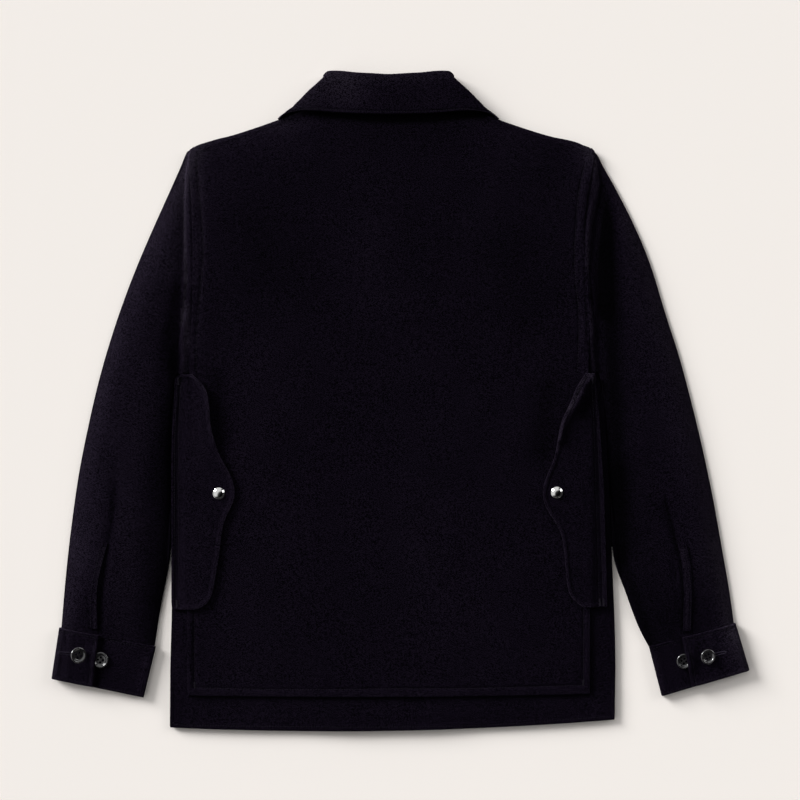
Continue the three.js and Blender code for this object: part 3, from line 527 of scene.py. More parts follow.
def refine(mesh, lines, reach, size, rims=None, rim_reach=0.0):
    """Splits the edges near some lines and rims, on the side that faces up, until they are short."""
    cloth = bmesh.new()
    cloth.from_mesh(mesh)
    for _ in range(SPLIT_ROUNDS):
        edges = list(cloth.edges)
        middles = np.array([(e.verts[0].co + e.verts[1].co)[:] for e in edges]) / 2 / MM
        lengths = np.array([e.calc_length() for e in edges]) / MM
        up = np.array([min(e.verts[0].normal.z, e.verts[1].normal.z) for e in edges])
        chosen = np.zeros(len(edges), bool)
        for line in lines:
            chosen |= near(middles[:, :2], line, reach)[0] < reach
        chosen &= (lengths > size) & (up > UP_SLANT)
        if rims:
            rest = np.flatnonzero(~chosen & (lengths > 1.3 * size) & (up > UP_SLANT))
            chosen[rest] = off_rim(rims, middles[rest]) < rim_reach
        if not chosen.any():
            break
        picked = [edge for edge, pick in zip(edges, chosen) if pick]
        bmesh.ops.subdivide_edges(cloth, edges=picked, cuts=1, use_grid_fill=True)
        cloth.normal_update()
    cloth.to_mesh(mesh)
    cloth.free()
    mesh.update()


# %% [markdown]
# ## What the lines do
#
# A sewn seam pulls the cloth down in a narrow groove, a little unevenly from stitch to
# stitch, and the folded allowance beside it stands up as a soft ridge. A fold in loose cloth
# is a broad bump that fades at both ends.


# %% Grooves and folds
SEAM_REACH = 12.0
FOLD_END = 0.3  # the share of a fold's length over which each end fades


def uneven(along, seed):
    """A slow wobble between about 0.6 and 1.4, the same each run."""
    return 1 + 0.22 * np.sin(along / 7.3 + seed) + 0.18 * np.sin(along / 17.9 + 2.1 * seed)


def press_seam(places, up, line, depth=0.55, width=1.5, ridge=0.0, ridge_side=1, ridge_at=3.2):
    """Presses a groove along a line, with a ridge at one side of it."""
    distance, side, along = near(places[:, :2], line, SEAM_REACH)
    wobble = uneven(along, depth * 10 + width)
    groove = depth * wobble * np.exp(-((distance / width) ** 2))
    bump = ridge * np.exp(-(((distance - ridge_at) / (0.6 * ridge_at)) ** 2)) * (side == ridge_side)
    places[:, 2] += up * (bump - groove)


def turned_edge(places, up, rims, height, width):
    """Makes the cloth thicker along its rim, as it is where an edge is turned in and sewn."""
    places[:, 2] += up * height * (1 - soft(off_rim(rims, places), 0.5 * width, width))


def nudge(places, rows):
    """Draws a piece's corners aside in plan, each by one row of a table."""
    for row in rows:
        off = np.hypot(*(places[:, :2] - np.array(row["at"])).T)
        places[:, :2] += np.outer(np.exp(-((off / row["reach"]) ** 2)), row["move"])


def fold_heights(places, folds):
    """The height that a table of folds adds at each place."""
    total = np.zeros(len(places))
    for fold in folds:
        line = np.array([fold["start"], fold["end"]], float)
        distance, _, along = near(places[:, :2], line, 3 * fold["width"])
        length = np.linalg.norm(line[1] - line[0])
        ends = soft(along, 0, FOLD_END * length) * (1 - soft(along, (1 - FOLD_END) * length, length))
        total += fold["height"] * np.exp(-((distance / fold["width"]) ** 2)) * ends
    return total


# %% [markdown]
# ## Painted light and shade
#
# Light and shade are painted into the wool's colour: paler where light would fall, darker where shade
# would fall. It could be painted by hand, but a table of lines in plan is easier to change. The first
# table is for the whole jacket: folds and shoulders are painted pale as if lit, and the inner sides of the
# sleeves, beside the body, are painted dark as if in shade. The shorter tables are for one piece each,
# mostly for lit rims and for the shaded hollows beside them.

# %% Painted light and shade
# Painted light and shade: the width of the painted rim highlight, then the table for the whole jacket,
# where a positive gain paints light and a negative gain paints shade.
PAINTED_RIM_HIGHLIGHT_WIDTH = 2.4
JACKET_PAINTED_SHADING = [
    {"width": 17, "gain": 1.0, "line": [
        (-251, 302), (-298, 205), (-337, 109), (-365, 13), (-386, -83), (-399, -179),
        (-410, -275), (-419, -335),
    ]},
    {"width": 17, "gain": 0.22, "line": [(-372, -150), (-398, -270)]},
    {"width": 22, "gain": 0.2, "line": [(-315, -150), (-330, -260)]},
    {"width": 25, "gain": 0.12, "line": [(300, 60), (330, -60)]},
    {"width": 18, "gain": 0.1, "line": [(-250, -368), (240, -366)]},
    {"width": 22, "gain": 0.2, "line": [(-40, 366), (40, 366)]},
    {"width": 30, "gain": 0.45, "line": [
        (-262, 282), (-312, 160), (-340, 60), (-362, -60), (-378, -180),
    ]},
    {"width": 26, "gain": 0.42, "line": [
        (-262, 262), (-278, 150), (-302, 40), (-325, -120), (-335, -280),
    ]},
    {"width": 20, "gain": 0.45, "line": [(-262, 290), (-270, 160)]},
    {"width": 19, "gain": 1.5, "line": [
        (232, 300), (284, 205), (317, 109), (346, 13), (369, -83), (387, -179), (402, -270),
        (420, -324),
    ]},
    {"width": 22, "gain": 0.35, "line": [
        (262, 215), (295, 110), (325, 10), (352, -110), (372, -210),
    ]},
    {"width": 15, "gain": -0.45, "line": [(-264, 50), (-276, -40), (-277, -170), (-296, -290)]},
    {"width": 14, "gain": -0.7, "line": [
        (247, 262), (252, 215), (249, 150), (251, 100), (254, 40), (258, -40), (262, -180),
    ]},
    {"width": 10, "gain": -0.78, "line": [
        (242, 278), (248, 245), (248, 215), (244, 170), (245, 110),
    ]},
    {"width": 13, "gain": 0.8, "line": [(-249, 301), (-196, 320), (-146, 337)]},
    {"width": 9, "gain": 0.55, "line": [(-246, 300), (-240, 200), (-246, 60)]},
    {"width": 12, "gain": 0.65, "line": [(140, 337), (188, 321), (231, 300)]},
    {"width": 9, "gain": 0.2, "line": [(226, 296), (216, 200), (220, 60)]},
    {"width": 17, "gain": 1.4, "line": [(387, -179), (404, -275)]},
    {"width": 8, "gain": -0.5, "line": [(264, -190), (300, -292)]},
    {"width": 22, "gain": -0.3, "line": [(272, -90), (286, -190), (314, -280)]},
    {"width": 40, "gain": 0.12, "line": [(130, 290), (190, 250)]},
    {"width": 40, "gain": 0.18, "line": [(-225, 250), (-150, 290)]},
    {"width": 27, "gain": 1.7, "line": [(-135, 356), (-96, 386), (-70, 378)]},
    {"width": 8, "gain": 0.8, "line": [(-94, 390), (-6, 386), (62, 390)]},
    {"width": 44, "gain": -0.2, "line": [(-180, 235), (-165, 160)]},
    {"width": 36, "gain": 0.25, "line": [(-40, 205), (-20, 130)]},
    {"width": 30, "gain": -0.18, "line": [(-30, 325), (40, 325)]},
    {"width": 34, "gain": -0.15, "line": [(130, 170), (150, 110)]},
    {"width": 15, "gain": -0.38, "line": [(178, 16), (166, -62)]},
    {"width": 10, "gain": -0.5, "line": [(-222, 28), (-214, -50)]},
    {"width": 18, "gain": 0.22, "line": [(-243, 10), (-243, -240)]},
    {"width": 52, "gain": 0.2, "line": [(-180, 40), (-180, -330)]},
    {"width": 55, "gain": 0.16, "line": [(0, -130), (70, -300)]},
    {"width": 26, "gain": 0.12, "line": [(380, -290), (415, -300)]},
]
# Painted shade on the panel: the shadow under the collar's edge and dark lines beside the armhole seams.
PANEL_PAINTED_SHADE = [
    {"width": 5.2, "gain": -1.2, "line": [
        (-112, 344), (-64, 340), (-18, 337.5), (35, 338), (74, 341.5), (101, 343),
    ]},
    {"width": 1.8, "gain": -0.5, "line": [(-248.6, 290), (-246.2, 200), (-248, 60)]},
    {"width": 1.8, "gain": -0.6, "line": [(228, 290), (219.4, 200), (223.6, 60)]},
]
# Painted light and shade on the sleeves: lit armhole rolls, shade beside them, and the shadow beside each
# placket.
SLEEVE_PAINTED_SHADING = {
    "left": [
        {"width": 1.7, "gain": 2.6, "line": [
            (-253.6, 297), (-258.8, 262), (-259.0, 216), (-258.2, 173), (-257.2, 141),
            (-260.2, 111), (-263.0, 91),
        ]},
        {"width": 1.5, "gain": 1.5, "line": [
            (-259.0, 250), (-259.2, 216), (-258.4, 173), (-257.4, 141),
        ]},
        {"width": 1.8, "gain": -0.6, "line": [(-249.8, 293), (-247.5, 184), (-249.0, 120)]},
        {"width": 11, "gain": -0.35, "line": [(-272, 262), (-282, 200)]},
        {"width": 5.0, "gain": 1.7, "line": [(-256.5, 112), (-257.0, 75), (-258.5, 34)]},
        {"width": 7.0, "gain": -0.5, "line": [(-270, 140), (-277, 90), (-276, 40)]},
        {"width": 3.0, "gain": -0.85, "line": [
            (-341, -100), (-347.4, -158), (-352.4, -182), (-356.0, -209), (-360.5, -239),
            (-361.5, -275),
        ]},
    ],
    "right": [
        {"width": 2.0, "gain": 1.0, "line": [
            (233.6, 288), (238.0, 257), (236.4, 243), (229.8, 216), (225.6, 186), (224.4, 152),
            (226.4, 130),
        ]},
        {"width": 4.5, "gain": 0.8, "line": [
            (231.0, 280), (231.5, 245), (226.5, 215), (223.0, 186), (222.6, 152),
        ]},
        {"width": 1.4, "gain": -0.8, "line": [
            (228.4, 288), (221.0, 238), (218.6, 184), (221.6, 124),
        ]},
        {"width": 4.5, "gain": 1.1, "line": [(229.0, 112), (229.5, 75), (233.0, 34)]},
        {"width": 2.5, "gain": -0.75, "line": [
            (315.6, -119), (323, -148), (331, -179), (336, -205), (337.5, -235), (338, -275),
        ]},
    ],
}
# Painted highlight along the lit side of each placket.
PLACKET_PAINTED_HIGHLIGHT = {
    "left": [
        {"width": 2.4, "gain": 1.1, "line": [(-353.5, -176), (-359.5, -205), (-365, -239), (-366, -272)]},
    ],
    "right": [
        {"width": 2.2, "gain": 1.0, "line": [(336, -178), (342, -218), (342.6, -272)]},
    ],
}
# Painted shadow beside each cuff's lap.
CUFF_PAINTED_SHADOW = {
    "left": [
        {"width": 3.2, "gain": -0.9, "line": [(-357.0, -279), (-359.6, -309), (-364.2, -341)]},
    ],
    "right": [
        {"width": 2.0, "gain": -0.5, "line": [(335.6, -282), (341.8, -310), (347.6, -340)]},
    ],
}
# Painted light and shade on the flaps: lit curled edges and the shade beside them.
FLAP_PAINTED_SHADING = {
    "left": [
        {"width": 2.2, "gain": 0.5, "line": [
            (-252, 30), (-236, 18), (-230, -4), (-228, -30), (-222, -50),
        ]},
        {"width": 5.0, "gain": -0.6, "line": [(-222, 22), (-219, -10), (-213, -44)]},
    ],
    "right": [
        {"width": 4.8, "gain": 1.5, "line": [(227, 29), (217, 22), (212, 10), (203, -8)]},
        {"width": 3.0, "gain": 1.0, "line": [(203, -8), (195, -21), (190, -41), (188, -59)]},
        {"width": 7.0, "gain": -0.6, "line": [(230, 8), (219, -18)]},
    ],
}


def write_painted_shading(mesh, rims=None, edge=0.0, own=()):
    """Writes the painted light and shade of a piece's points, from the jacket's table, its own rows and a
    painted rim highlight of strength edge.
    """
    places = read_points(mesh)
    nap = np.zeros(len(places))
    for row in [*JACKET_PAINTED_SHADING, *own]:
        distance = near(places[:, :2], smooth_line(row["line"], 6), 3 * row["width"])[0]
        nap += row["gain"] * np.exp(-((distance / row["width"]) ** 2))
    if rims:
        nap += edge * np.exp(-((off_rim(rims, places) / PAINTED_RIM_HIGHLIGHT_WIDTH) ** 2))
    made = mesh.attributes.new("nap", "FLOAT", "POINT")
    made.data.foreach_set("value", nap)


print("nap rows for the whole jacket:", len(JACKET_PAINTED_SHADING))

# %% [markdown]
# ## How the back lies
#
# The back, the pocket panel on it and the flaps on that lie on each other, so a soft swell
# in one shows in all three. They could be sculpted, but one table of swells moves all three
# together. The swells are placed from the way light and shade fall on the wool, and
# die away towards the seams. A second table takes in the square corners at the shoulders,
# because a sewn corner is never sharp.

# %% Swells of the back
SWELLS = [
    {"start": (-228, 262), "end": (-95, 318), "width": 30, "height": 1.6},
    {"start": (60, 322), "end": (196, 262), "width": 34, "height": 1.3},
    {"start": (-30, 305), "end": (-18, 118), "width": 38, "height": 1.9},
    {"start": (-190, 215), "end": (-120, 60), "width": 34, "height": 1.2},
    {"start": (100, 245), "end": (165, 85), "width": 36, "height": 1.5},
    {"start": (-95, 95), "end": (-175, -95), "width": 40, "height": 1.1},
    {"start": (25, 80), "end": (60, -120), "width": 42, "height": 1.2},
    {"start": (150, 40), "end": (118, -170), "width": 30, "height": 1.0},
    {"start": (-60, -60), "end": (-25, -290), "width": 44, "height": 1.2},
    {"start": (-190, -150), "end": (-165, -320), "width": 30, "height": 0.9},
    {"start": (120, -190), "end": (165, -320), "width": 34, "height": 1.0},
]
SHOULDER_CORNERS = [
    {"at": (-252, 302.5), "move": (0.8, -2.6), "reach": 5.5},
    {"at": (235, 300), "move": (-2.0, -2.4), "reach": 6.0},
]
SWELL_AREA = {"left": -250, "right": 224, "top": 338, "bottom": -360}
QUIET_EDGE = {"side": 12, "full": 46}


def swell(places):
    """How far the back's layers are raised at each place."""
    x, y = places[:, 0], places[:, 1]
    from_side = np.minimum(x - SWELL_AREA["left"], SWELL_AREA["right"] - x)
    from_end = np.minimum(SWELL_AREA["top"] - y, y - SWELL_AREA["bottom"])
    inside = np.minimum(from_side, from_end)
    return fold_heights(places, SWELLS) * soft(inside, QUIET_EDGE["side"], QUIET_EDGE["full"])


print("swells:", len(SWELLS))

# %% [markdown]
# ## The seam lines
#
# The panel is topstitched round its armholes, along its bottom and up its open sides. The
# flaps are sewn on with two rows, the cuffs and the collar have one row near the edge, and
# the hem has one close to it.

# %% Seam tables
SIDES = ("left", "right")
ARMHOLE_STITCH = {
    "left": [
        (-245.2, 288.0), (-243.4, 270.6), (-238.0, 216.6), (-236.4, 173.4), (-240.1, 130.2),
        (-244.0, 87.0), (-244.9, 36.0),
    ],
    "right": [
        (221.6, 284.0), (213.8, 249.0), (209.5, 195.0), (209.5, 151.8), (213.8, 108.6),
        (213.8, 70.2), (212.3, 36.0),
    ],
}
PANEL_STITCH = {
    "left": [(-247.2, 20.0), (-247.0, -160.0), (-246.8, -344.5)],
    "bottom": [(-246.8, -344.5), (-138.6, -347.0), (-12.6, -345.7), (91.8, -345.2), (219.4, -341.6)],
    "right": [(219.4, -341.6), (219.6, -160.0), (218.4, 20.0)],
}
HEM_STITCH = [
    (-273.0, -387.2), (-262.2, -389.6), (-138.0, -391.6), (-12.0, -391.8), (110.0, -389.3),
    (254.4, -379.0),
]
FLAP_STITCH = {
    "left": [
        [(-263.6, 24.6), (-265.8, -35.4), (-266.5, -119.4), (-265.4, -246.6)],
        [(-268.0, 19.8), (-270.2, -35.4), (-270.9, -119.4), (-269.8, -246.6)],
    ],
    "right": [
        [(228.6, 26.6), (231.6, -29.4), (236.0, -163.8), (238.2, -243.6)],
        [(232.6, 22.6), (236.0, -29.4), (240.6, -163.8), (242.8, -243.6)],
    ],
}
COLLAR_STITCH = [
    (-136.0, 344.0), (-107.4, 348.2), (-64.2, 346.4), (-18.6, 345.0), (35.4, 345.6),
    (73.8, 348.2), (108.0, 344.4),
]

panel_lines = [smooth_line(ARMHOLE_STITCH[side]) for side in SIDES]
panel_lines += [smooth_line(row) for row in PANEL_STITCH.values()]
hem_line = smooth_line(HEM_STITCH)
collar_line = smooth_line(COLLAR_STITCH)
flap_lines = {side: [smooth_line(row) for row in rows] for side, rows in FLAP_STITCH.items()}
print("seam lines on the panel:", len(panel_lines), "on a flap:", len(flap_lines["left"]))

# %% [markdown]
# ## The back and its pocket panel
#
# These two are the largest sheets. Both are smooth shells with the swells, and the panel has
# its seams pressed in. The mesh is split finer only near the seams, because a groove needs
# points every millimetre or so and the open cloth doesn't.

# %% Back and pocket panel
RIM = 0.8 * MM
HEM_TOP = -340  # the hem's turned edge lies below this
back_mesh = smooth_shell("back", 3, RIM)
refine(back_mesh, [hem_line], 5, 1.8)
places = read_points(back_mesh)
up = facing_up(back_mesh)
places[:, 2] += swell(places)
nudge(places, SHOULDER_CORNERS)
turned_edge(places, up * (places[:, 1] < HEM_TOP), rim_tree(back_mesh), 0.7, 4.5)
press_seam(places, up, hem_line, depth=0.4, width=1.2)
write_points(back_mesh, places)
write_painted_shading(back_mesh)
back_cloth = put("back_wool", back_mesh, wool, ["back"])

panel_mesh = smooth_shell("back_pocket_panel", 3, RIM)
rims = rim_tree(panel_mesh)
refine(panel_mesh, panel_lines, 6, 1.8, rims, 6)
places = read_points(panel_mesh)
up = facing_up(panel_mesh)
places[:, 2] += swell(places)
turned_edge(places, up, rims, 1.0, 7.5)
for line in panel_lines:
    press_seam(places, up, line, depth=0.9, width=1.7)
nudge(places, SHOULDER_CORNERS)
write_points(panel_mesh, places)
write_painted_shading(panel_mesh, rims, 0.5, PANEL_PAINTED_SHADE)
panel_cloth = put("back_pocket_panel_wool", panel_mesh, wool, ["back_pocket_panel"])
print("back:", len(back_mesh.polygons), "panel:", len(panel_mesh.polygons))

# %% [markdown]
# ## The fronts
#
# They lie under everything, flat on the table, and only their undersides can be seen, from
# below. A smooth shell of each is enough, with no folds, because the weight on them presses
# them flat.

# %% Fronts
for node in ("front_left", "front_right"):
    mesh = smooth_shell(node, 2, RIM)
    places = read_points(mesh)
    nudge(places, SHOULDER_CORNERS)
    write_points(mesh, places)
    put(node + "_wool", mesh, wool, [node])

# %% [markdown]
# ## The pocket flaps
#
# A flap is two plies, turned and pressed, so its free edge is thick and round. The upper
# part of each free edge stands off the panel and catches the light. On the right one it has
# curled up along a short crest. A lift, a groove turned upside down and a bulge in plan
# give that shape without drawing the flap anew.

# %% Flaps
FLAP_LIFTS = {
    "left": {"y": -12, "reach": 44, "height": 4.2, "seam": 250, "edge": 214},
    "right": {"y": 2, "reach": 34, "height": 2.6, "seam": 232, "edge": 196},
}
FLAP_CURL = {
    "left": {"height": 0.8, "width": 4.0, "line": [
        (-247, 26), (-236, 14), (-231, -6), (-229, -30), (-224, -50),
    ]},
    "right": {"height": 4.0, "width": 5.0, "line": [
        (232, 29), (222, 19), (217, 6), (206, -12), (197.5, -27), (191, -46),
    ]},
}
FLAP_BULGE = {
    "left": [],
    "right": [{"at": (212, 10), "move": (-2.6, 1.2), "reach": 20}],
}
flap_cloths = {}
for side, rows in flap_lines.items():
    node = "pocket_flap_" + side
    mesh = smooth_shell(node, 3, RIM)
    rims = rim_tree(mesh)
    curl = FLAP_CURL[side]
    curl_line = smooth_line(curl["line"], 3)
    refine(mesh, rows, 4, 1.6, rims, 5)
    refine(mesh, [curl_line], 9, 1.8)
    places = read_points(mesh)
    up = facing_up(mesh)
    turned_edge(places, up, rims, 1.3, 5.5)
    lift = FLAP_LIFTS[side]
    outward = soft(np.abs(places[:, 0]), lift["seam"], lift["edge"])
    along = np.exp(-(((places[:, 1] - lift["y"]) / lift["reach"]) ** 2))
    places[:, 2] += swell(places) + lift["height"] * outward * along
    for row in rows:
        press_seam(places, up, row, depth=0.55, width=1.3)
    nudge(places, FLAP_BULGE[side])
    press_seam(places, up, curl_line, depth=-curl["height"], width=curl["width"])
    write_points(mesh, places)
    write_painted_shading(mesh, rims, 0.8, FLAP_PAINTED_SHADING[side])
    flap_cloths[side] = put(node + "_wool", mesh, wool, [node])
print("flaps:", [len(piece.data.polygons) for piece in flap_cloths.values()])

# %% [markdown]
# ## The sleeves
#
# A sleeve is a tube, pressed flat from the armhole to the cuff. It isn't quite flat: it
# crowns in the middle and slopes to both folds, which together with painted light and shade on its wool
# makes its outer half bright and its inner half dark. Long soft folds run down it, it puckers near the
# armhole, and two sharper creases run down beside the placket.

# %% Sleeves
SLEEVE_LINES = {
    "left": {
        "outer": [
            (-251, 300), (-298, 205), (-337, 109), (-365, 13), (-386, -83), (-399, -179),
            (-408, -273),
        ],
        "inner": [
            (-252, 40), (-275, -40), (-275, -120), (-275, -172), (-281, -216), (-290, -258),
            (-295, -295),
        ],
    },
    "right": {
        "outer": [(232, 298), (284, 205), (317, 109), (346, 13), (369, -83), (387, -179), (401, -267)],
        "inner": [
            (225, 40), (248, -42), (253, -118), (255, -182), (269, -226), (282, -262),
            (298, -295),
        ],
    },
}
ARMHOLE_ROLL = {
    "left": [
        (-254.2, 294.0), (-258.5, 259.8), (-257.4, 216.6), (-256.3, 173.4), (-255.2, 141.0),
        (-258.5, 111.0), (-261.6, 90.8), (-266.0, 76.2), (-264.4, 62.4), (-266.0, 34.0),
    ],
    "right": [
        (235.0, 290.6), (239.4, 257.4), (237.6, 243.0), (231.0, 216.6), (226.8, 186.6),
        (225.8, 151.8), (227.2, 130.2), (230.4, 103.8), (232.8, 78.6), (231.8, 65.4),
        (235.0, 36.0),
    ],
}
PUFF = {"height": 13.5, "outer": 19.0, "inner": 27.0, "pressed": 3.4}
ROLL = {"height": 1.8, "at": 4.0, "width": 4.0}  # the soft edge inside the armhole line
VALLEY_WIDTH = 12.0
CUFF_HOLD = {"low": -305, "high": -225}  # nearer than this to the cuff the sleeve lies flat
FOLD_EDGE = {"side": 4, "full": 22}
UPPER_PLY = {"low": 2.7, "high": 5.6}  # heights, from the under ply to the upper one
WIDE = 400  # far enough to measure over the whole sleeve
SLEEVE_CORNERS = {
    "left": [
        {"at": (-258, 35), "move": (0, -6.5), "reach": 16},
        {"at": (-255, 293), "move": (0.8, 4.5), "reach": 9},
    ],
    "right": [
        {"at": (229, 36), "move": (0, -6.0), "reach": 14},
        {"at": (236, 292), "move": (-0.5, 4.0), "reach": 9},
    ],
}
VALLEY = {"left": {"depth": 0.8, "reach": 10}, "right": {"depth": 2.5, "reach": 24}}
SLEEVE_FOLDS = {
    "left": [
        {"start": (-272, 250), "end": (-318, 40), "width": 13, "height": 1.1},
        {"start": (-268, 120), "end": (-290, -10), "width": 9, "height": -1.1},
        {"start": (-338, 70), "end": (-372, -110), "width": 15, "height": 1.0},
        {"start": (-300, -20), "end": (-325, -190), "width": 13, "height": 0.9},
        {"start": (-339, -60), "end": (-347, -176), "width": 5.5, "height": -1.5},
        {"start": (-352, -70), "end": (-371, -262), "width": 11, "height": 1.0},
        {"start": (-348, -140), "end": (-361, -290), "width": 4.5, "height": -1.5},
        {"start": (-264, 92), "end": (-292, 52), "width": 5, "height": -0.9},
        {"start": (-276, -60), "end": (-305, -235), "width": 10, "height": -0.8},
    ],
    "right": [
        {"start": (262, 232), "end": (300, 40), "width": 14, "height": 1.2},
        {"start": (240, 150), "end": (262, 0), "width": 10, "height": -1.2},
        {"start": (312, 90), "end": (352, -90), "width": 14, "height": 1.1},
        {"start": (276, 10), "end": (300, -170), "width": 13, "height": 0.9},
        {"start": (311, -110), "end": (333, -178), "width": 5.5, "height": -1.5},
        {"start": (340, -50), "end": (376, -250), "width": 12, "height": 1.1},
        {"start": (326, -145), "end": (337, -290), "width": 4.5, "height": -1.4},
        {"start": (238, 96), "end": (262, 60), "width": 5, "height": -0.8},
        {"start": (262, -60), "end": (296, -230), "width": 10, "height": -0.9},
    ],
}


def sleeve_lift(places, side):
    """How far the sleeve's upper ply stands above where the model has it.

    It is pressed down at both folds and beside the armhole, and stands up between them.
    """
    outer = near(places[:, :2], smooth_line(SLEEVE_LINES[side]["outer"], 12), WIDE)[0]
    inner = near(places[:, :2], smooth_line(SLEEVE_LINES[side]["inner"], 12), WIDE)[0]
    rolled, roll_side, _ = near(places[:, :2], roll_lines[side], WIDE)
    outside = roll_side == (-1 if side == "left" else 1)
    puff = PUFF["height"] * (1 - np.exp(-outer / PUFF["outer"])) * (1 - np.exp(-inner / PUFF["inner"]))
    free = np.where(outside, 1 - np.exp(-rolled / VALLEY[side]["reach"]), 0.0)
    to_cuff = soft(places[:, 1], CUFF_HOLD["low"], CUFF_HOLD["high"])
    lift = (puff - PUFF["pressed"]) * free * to_cuff
    valley = VALLEY[side]["depth"] * np.exp(-((rolled / VALLEY_WIDTH) ** 2))
    lift -= np.where(outside, valley, 0.0)
    roll = ROLL["height"] * np.exp(-(((rolled - ROLL["at"]) / ROLL["width"]) ** 2))
    lift += np.where(outside, 0.0, roll)
    edge = (FOLD_EDGE["side"], FOLD_EDGE["full"])
    return lift + fold_heights(places, SLEEVE_FOLDS[side]) * free * soft(outer, *edge) * soft(inner, *edge)


def shape_sleeve(mesh, side):
    places = read_points(mesh)
    places[:, 2] += soft(places[:, 2], UPPER_PLY["low"], UPPER_PLY["high"]) * sleeve_lift(places, side)
    nudge(places, SLEEVE_CORNERS[side])
    write_points(mesh, places)


roll_lines = {side: smooth_line(row, 4) for side, row in ARMHOLE_ROLL.items()}
print("sleeve folds:", {side: len(rows) for side, rows in SLEEVE_FOLDS.items()})

# %% [markdown]
# ## The seam allowance
#
# Where the sleeve joins the body, the two cloths are sewn with an allowance inside, so the
# table never shows through the seam. It is a narrow strip low under the join, part of the
# sleeve, and it goes on under the arm, where the sleeve lies against the body's side.

# %% Seam allowance
ALLOWANCE = {
    "left": [
        (-250.4, 292), (-247.6, 184), (-249.4, 60), (-255.5, 34), (-265, 30), (-272, 8),
        (-275.0, -40), (-275.2, -176),
    ],
    "right": [
        (230.4, 290), (219.8, 184), (224.6, 60), (228.5, 36), (237, 29), (243.8, 6),
        (248.0, -42), (254.4, -176),
    ],
}
ALLOWANCE_WIDTH = 15.0
ALLOWANCE_Z = (0.3, 1.6)


def add_allowance(mesh, side):
    """Adds the strip under the join to a sleeve's mesh."""
    line = smooth_line(ALLOWANCE[side], 6)
    ways = np.gradient(line, axis=0)
    off = np.stack([-ways[:, 1], ways[:, 0]], axis=1) / np.linalg.norm(ways, axis=1)[:, None]
    strip = bmesh.new()
    strip.from_mesh(mesh)
    rings = []
    for at, aside in zip(line, off * ALLOWANCE_WIDTH / 2):
        corners = [(at + aside, 0), (at - aside, 0), (at - aside, 1), (at + aside, 1)]
        ring = [(x * MM, y * MM, ALLOWANCE_Z[level] * MM) for (x, y), level in corners]
        rings.append([strip.verts.new(corner) for corner in ring])
    for low, high in zip(rings, rings[1:]):
        for k in range(4):
            strip.faces.new([low[k], low[(k + 1) % 4], high[(k + 1) % 4], high[k]])
    strip.faces.new(rings[0][::-1])
    strip.faces.new(rings[-1])
    bmesh.ops.recalc_face_normals(strip, faces=strip.faces)
    strip.to_mesh(mesh)
    strip.free()


# %% Sleeve cloths
for side in SIDES:
    node = "sleeve_" + side
    mesh = smooth_shell(node, 2, RIM)
    refine(mesh, [roll_lines[side]], 13, 1.9)
    shape_sleeve(mesh, side)
    add_allowance(mesh, side)
    write_painted_shading(mesh, own=SLEEVE_PAINTED_SHADING[side])
    put(node + "_wool", mesh, wool, [node])

# %% [markdown]
# ## Cuffs and plackets
#
# The cuff is a buttoned band with a lapped end. The placket is the narrow bound edge of the
# slit above it. The placket rides on the sleeve's cloth, so it is raised with it. The cuff
# lies where the model has it, but for the end of its lap, which is drawn a little aside.

# %% Cuff seam tables
CUFF_STITCH = {
    "left": [
        [(-406.5, -277.0), (-368.0, -284.0)],
        [(-406.5, -277.0), (-415.6, -331.2)],
        [(-415.6, -331.2), (-373.6, -339.2)],
        [(-366.4, -281.6), (-369.4, -311.0), (-373.4, -338.8)],
        [(-357.0, -286.2), (-299.5, -297.8)],
        [(-366.0, -343.2), (-311.8, -352.6)],
    ],
    "right": [
        [(398.6, -272.4), (345.0, -286.6)],
        [(398.6, -272.4), (415.4, -321.4)],
        [(415.4, -321.4), (354.6, -339.2)],
        [(342.0, -283.0), (348.0, -305.0), (354.0, -338.4)],
        [(333.0, -289.6), (301.5, -298.2)],
        [(346.0, -343.2), (315.8, -351.6)],
    ],
}
PLACKET_STITCH = {
    "left": [(-358.6, -178.0), (-363.0, -196.0), (-368.6, -222.0), (-370.6, -246.0), (-370.8, -270.0)],
    "right": [(339.6, -178.0), (343.6, -196.0), (346.6, -226.0), (347.0, -250.0), (347.0, -272.0)],
}
cuff_lines = {side: [smooth_line(row, 3) for row in rows] for side, rows in CUFF_STITCH.items()}
placket_lines = {side: smooth_line(row, 3) for side, row in PLACKET_STITCH.items()}
print("cuff rows:", sum(len(rows) for rows in cuff_lines.values()))

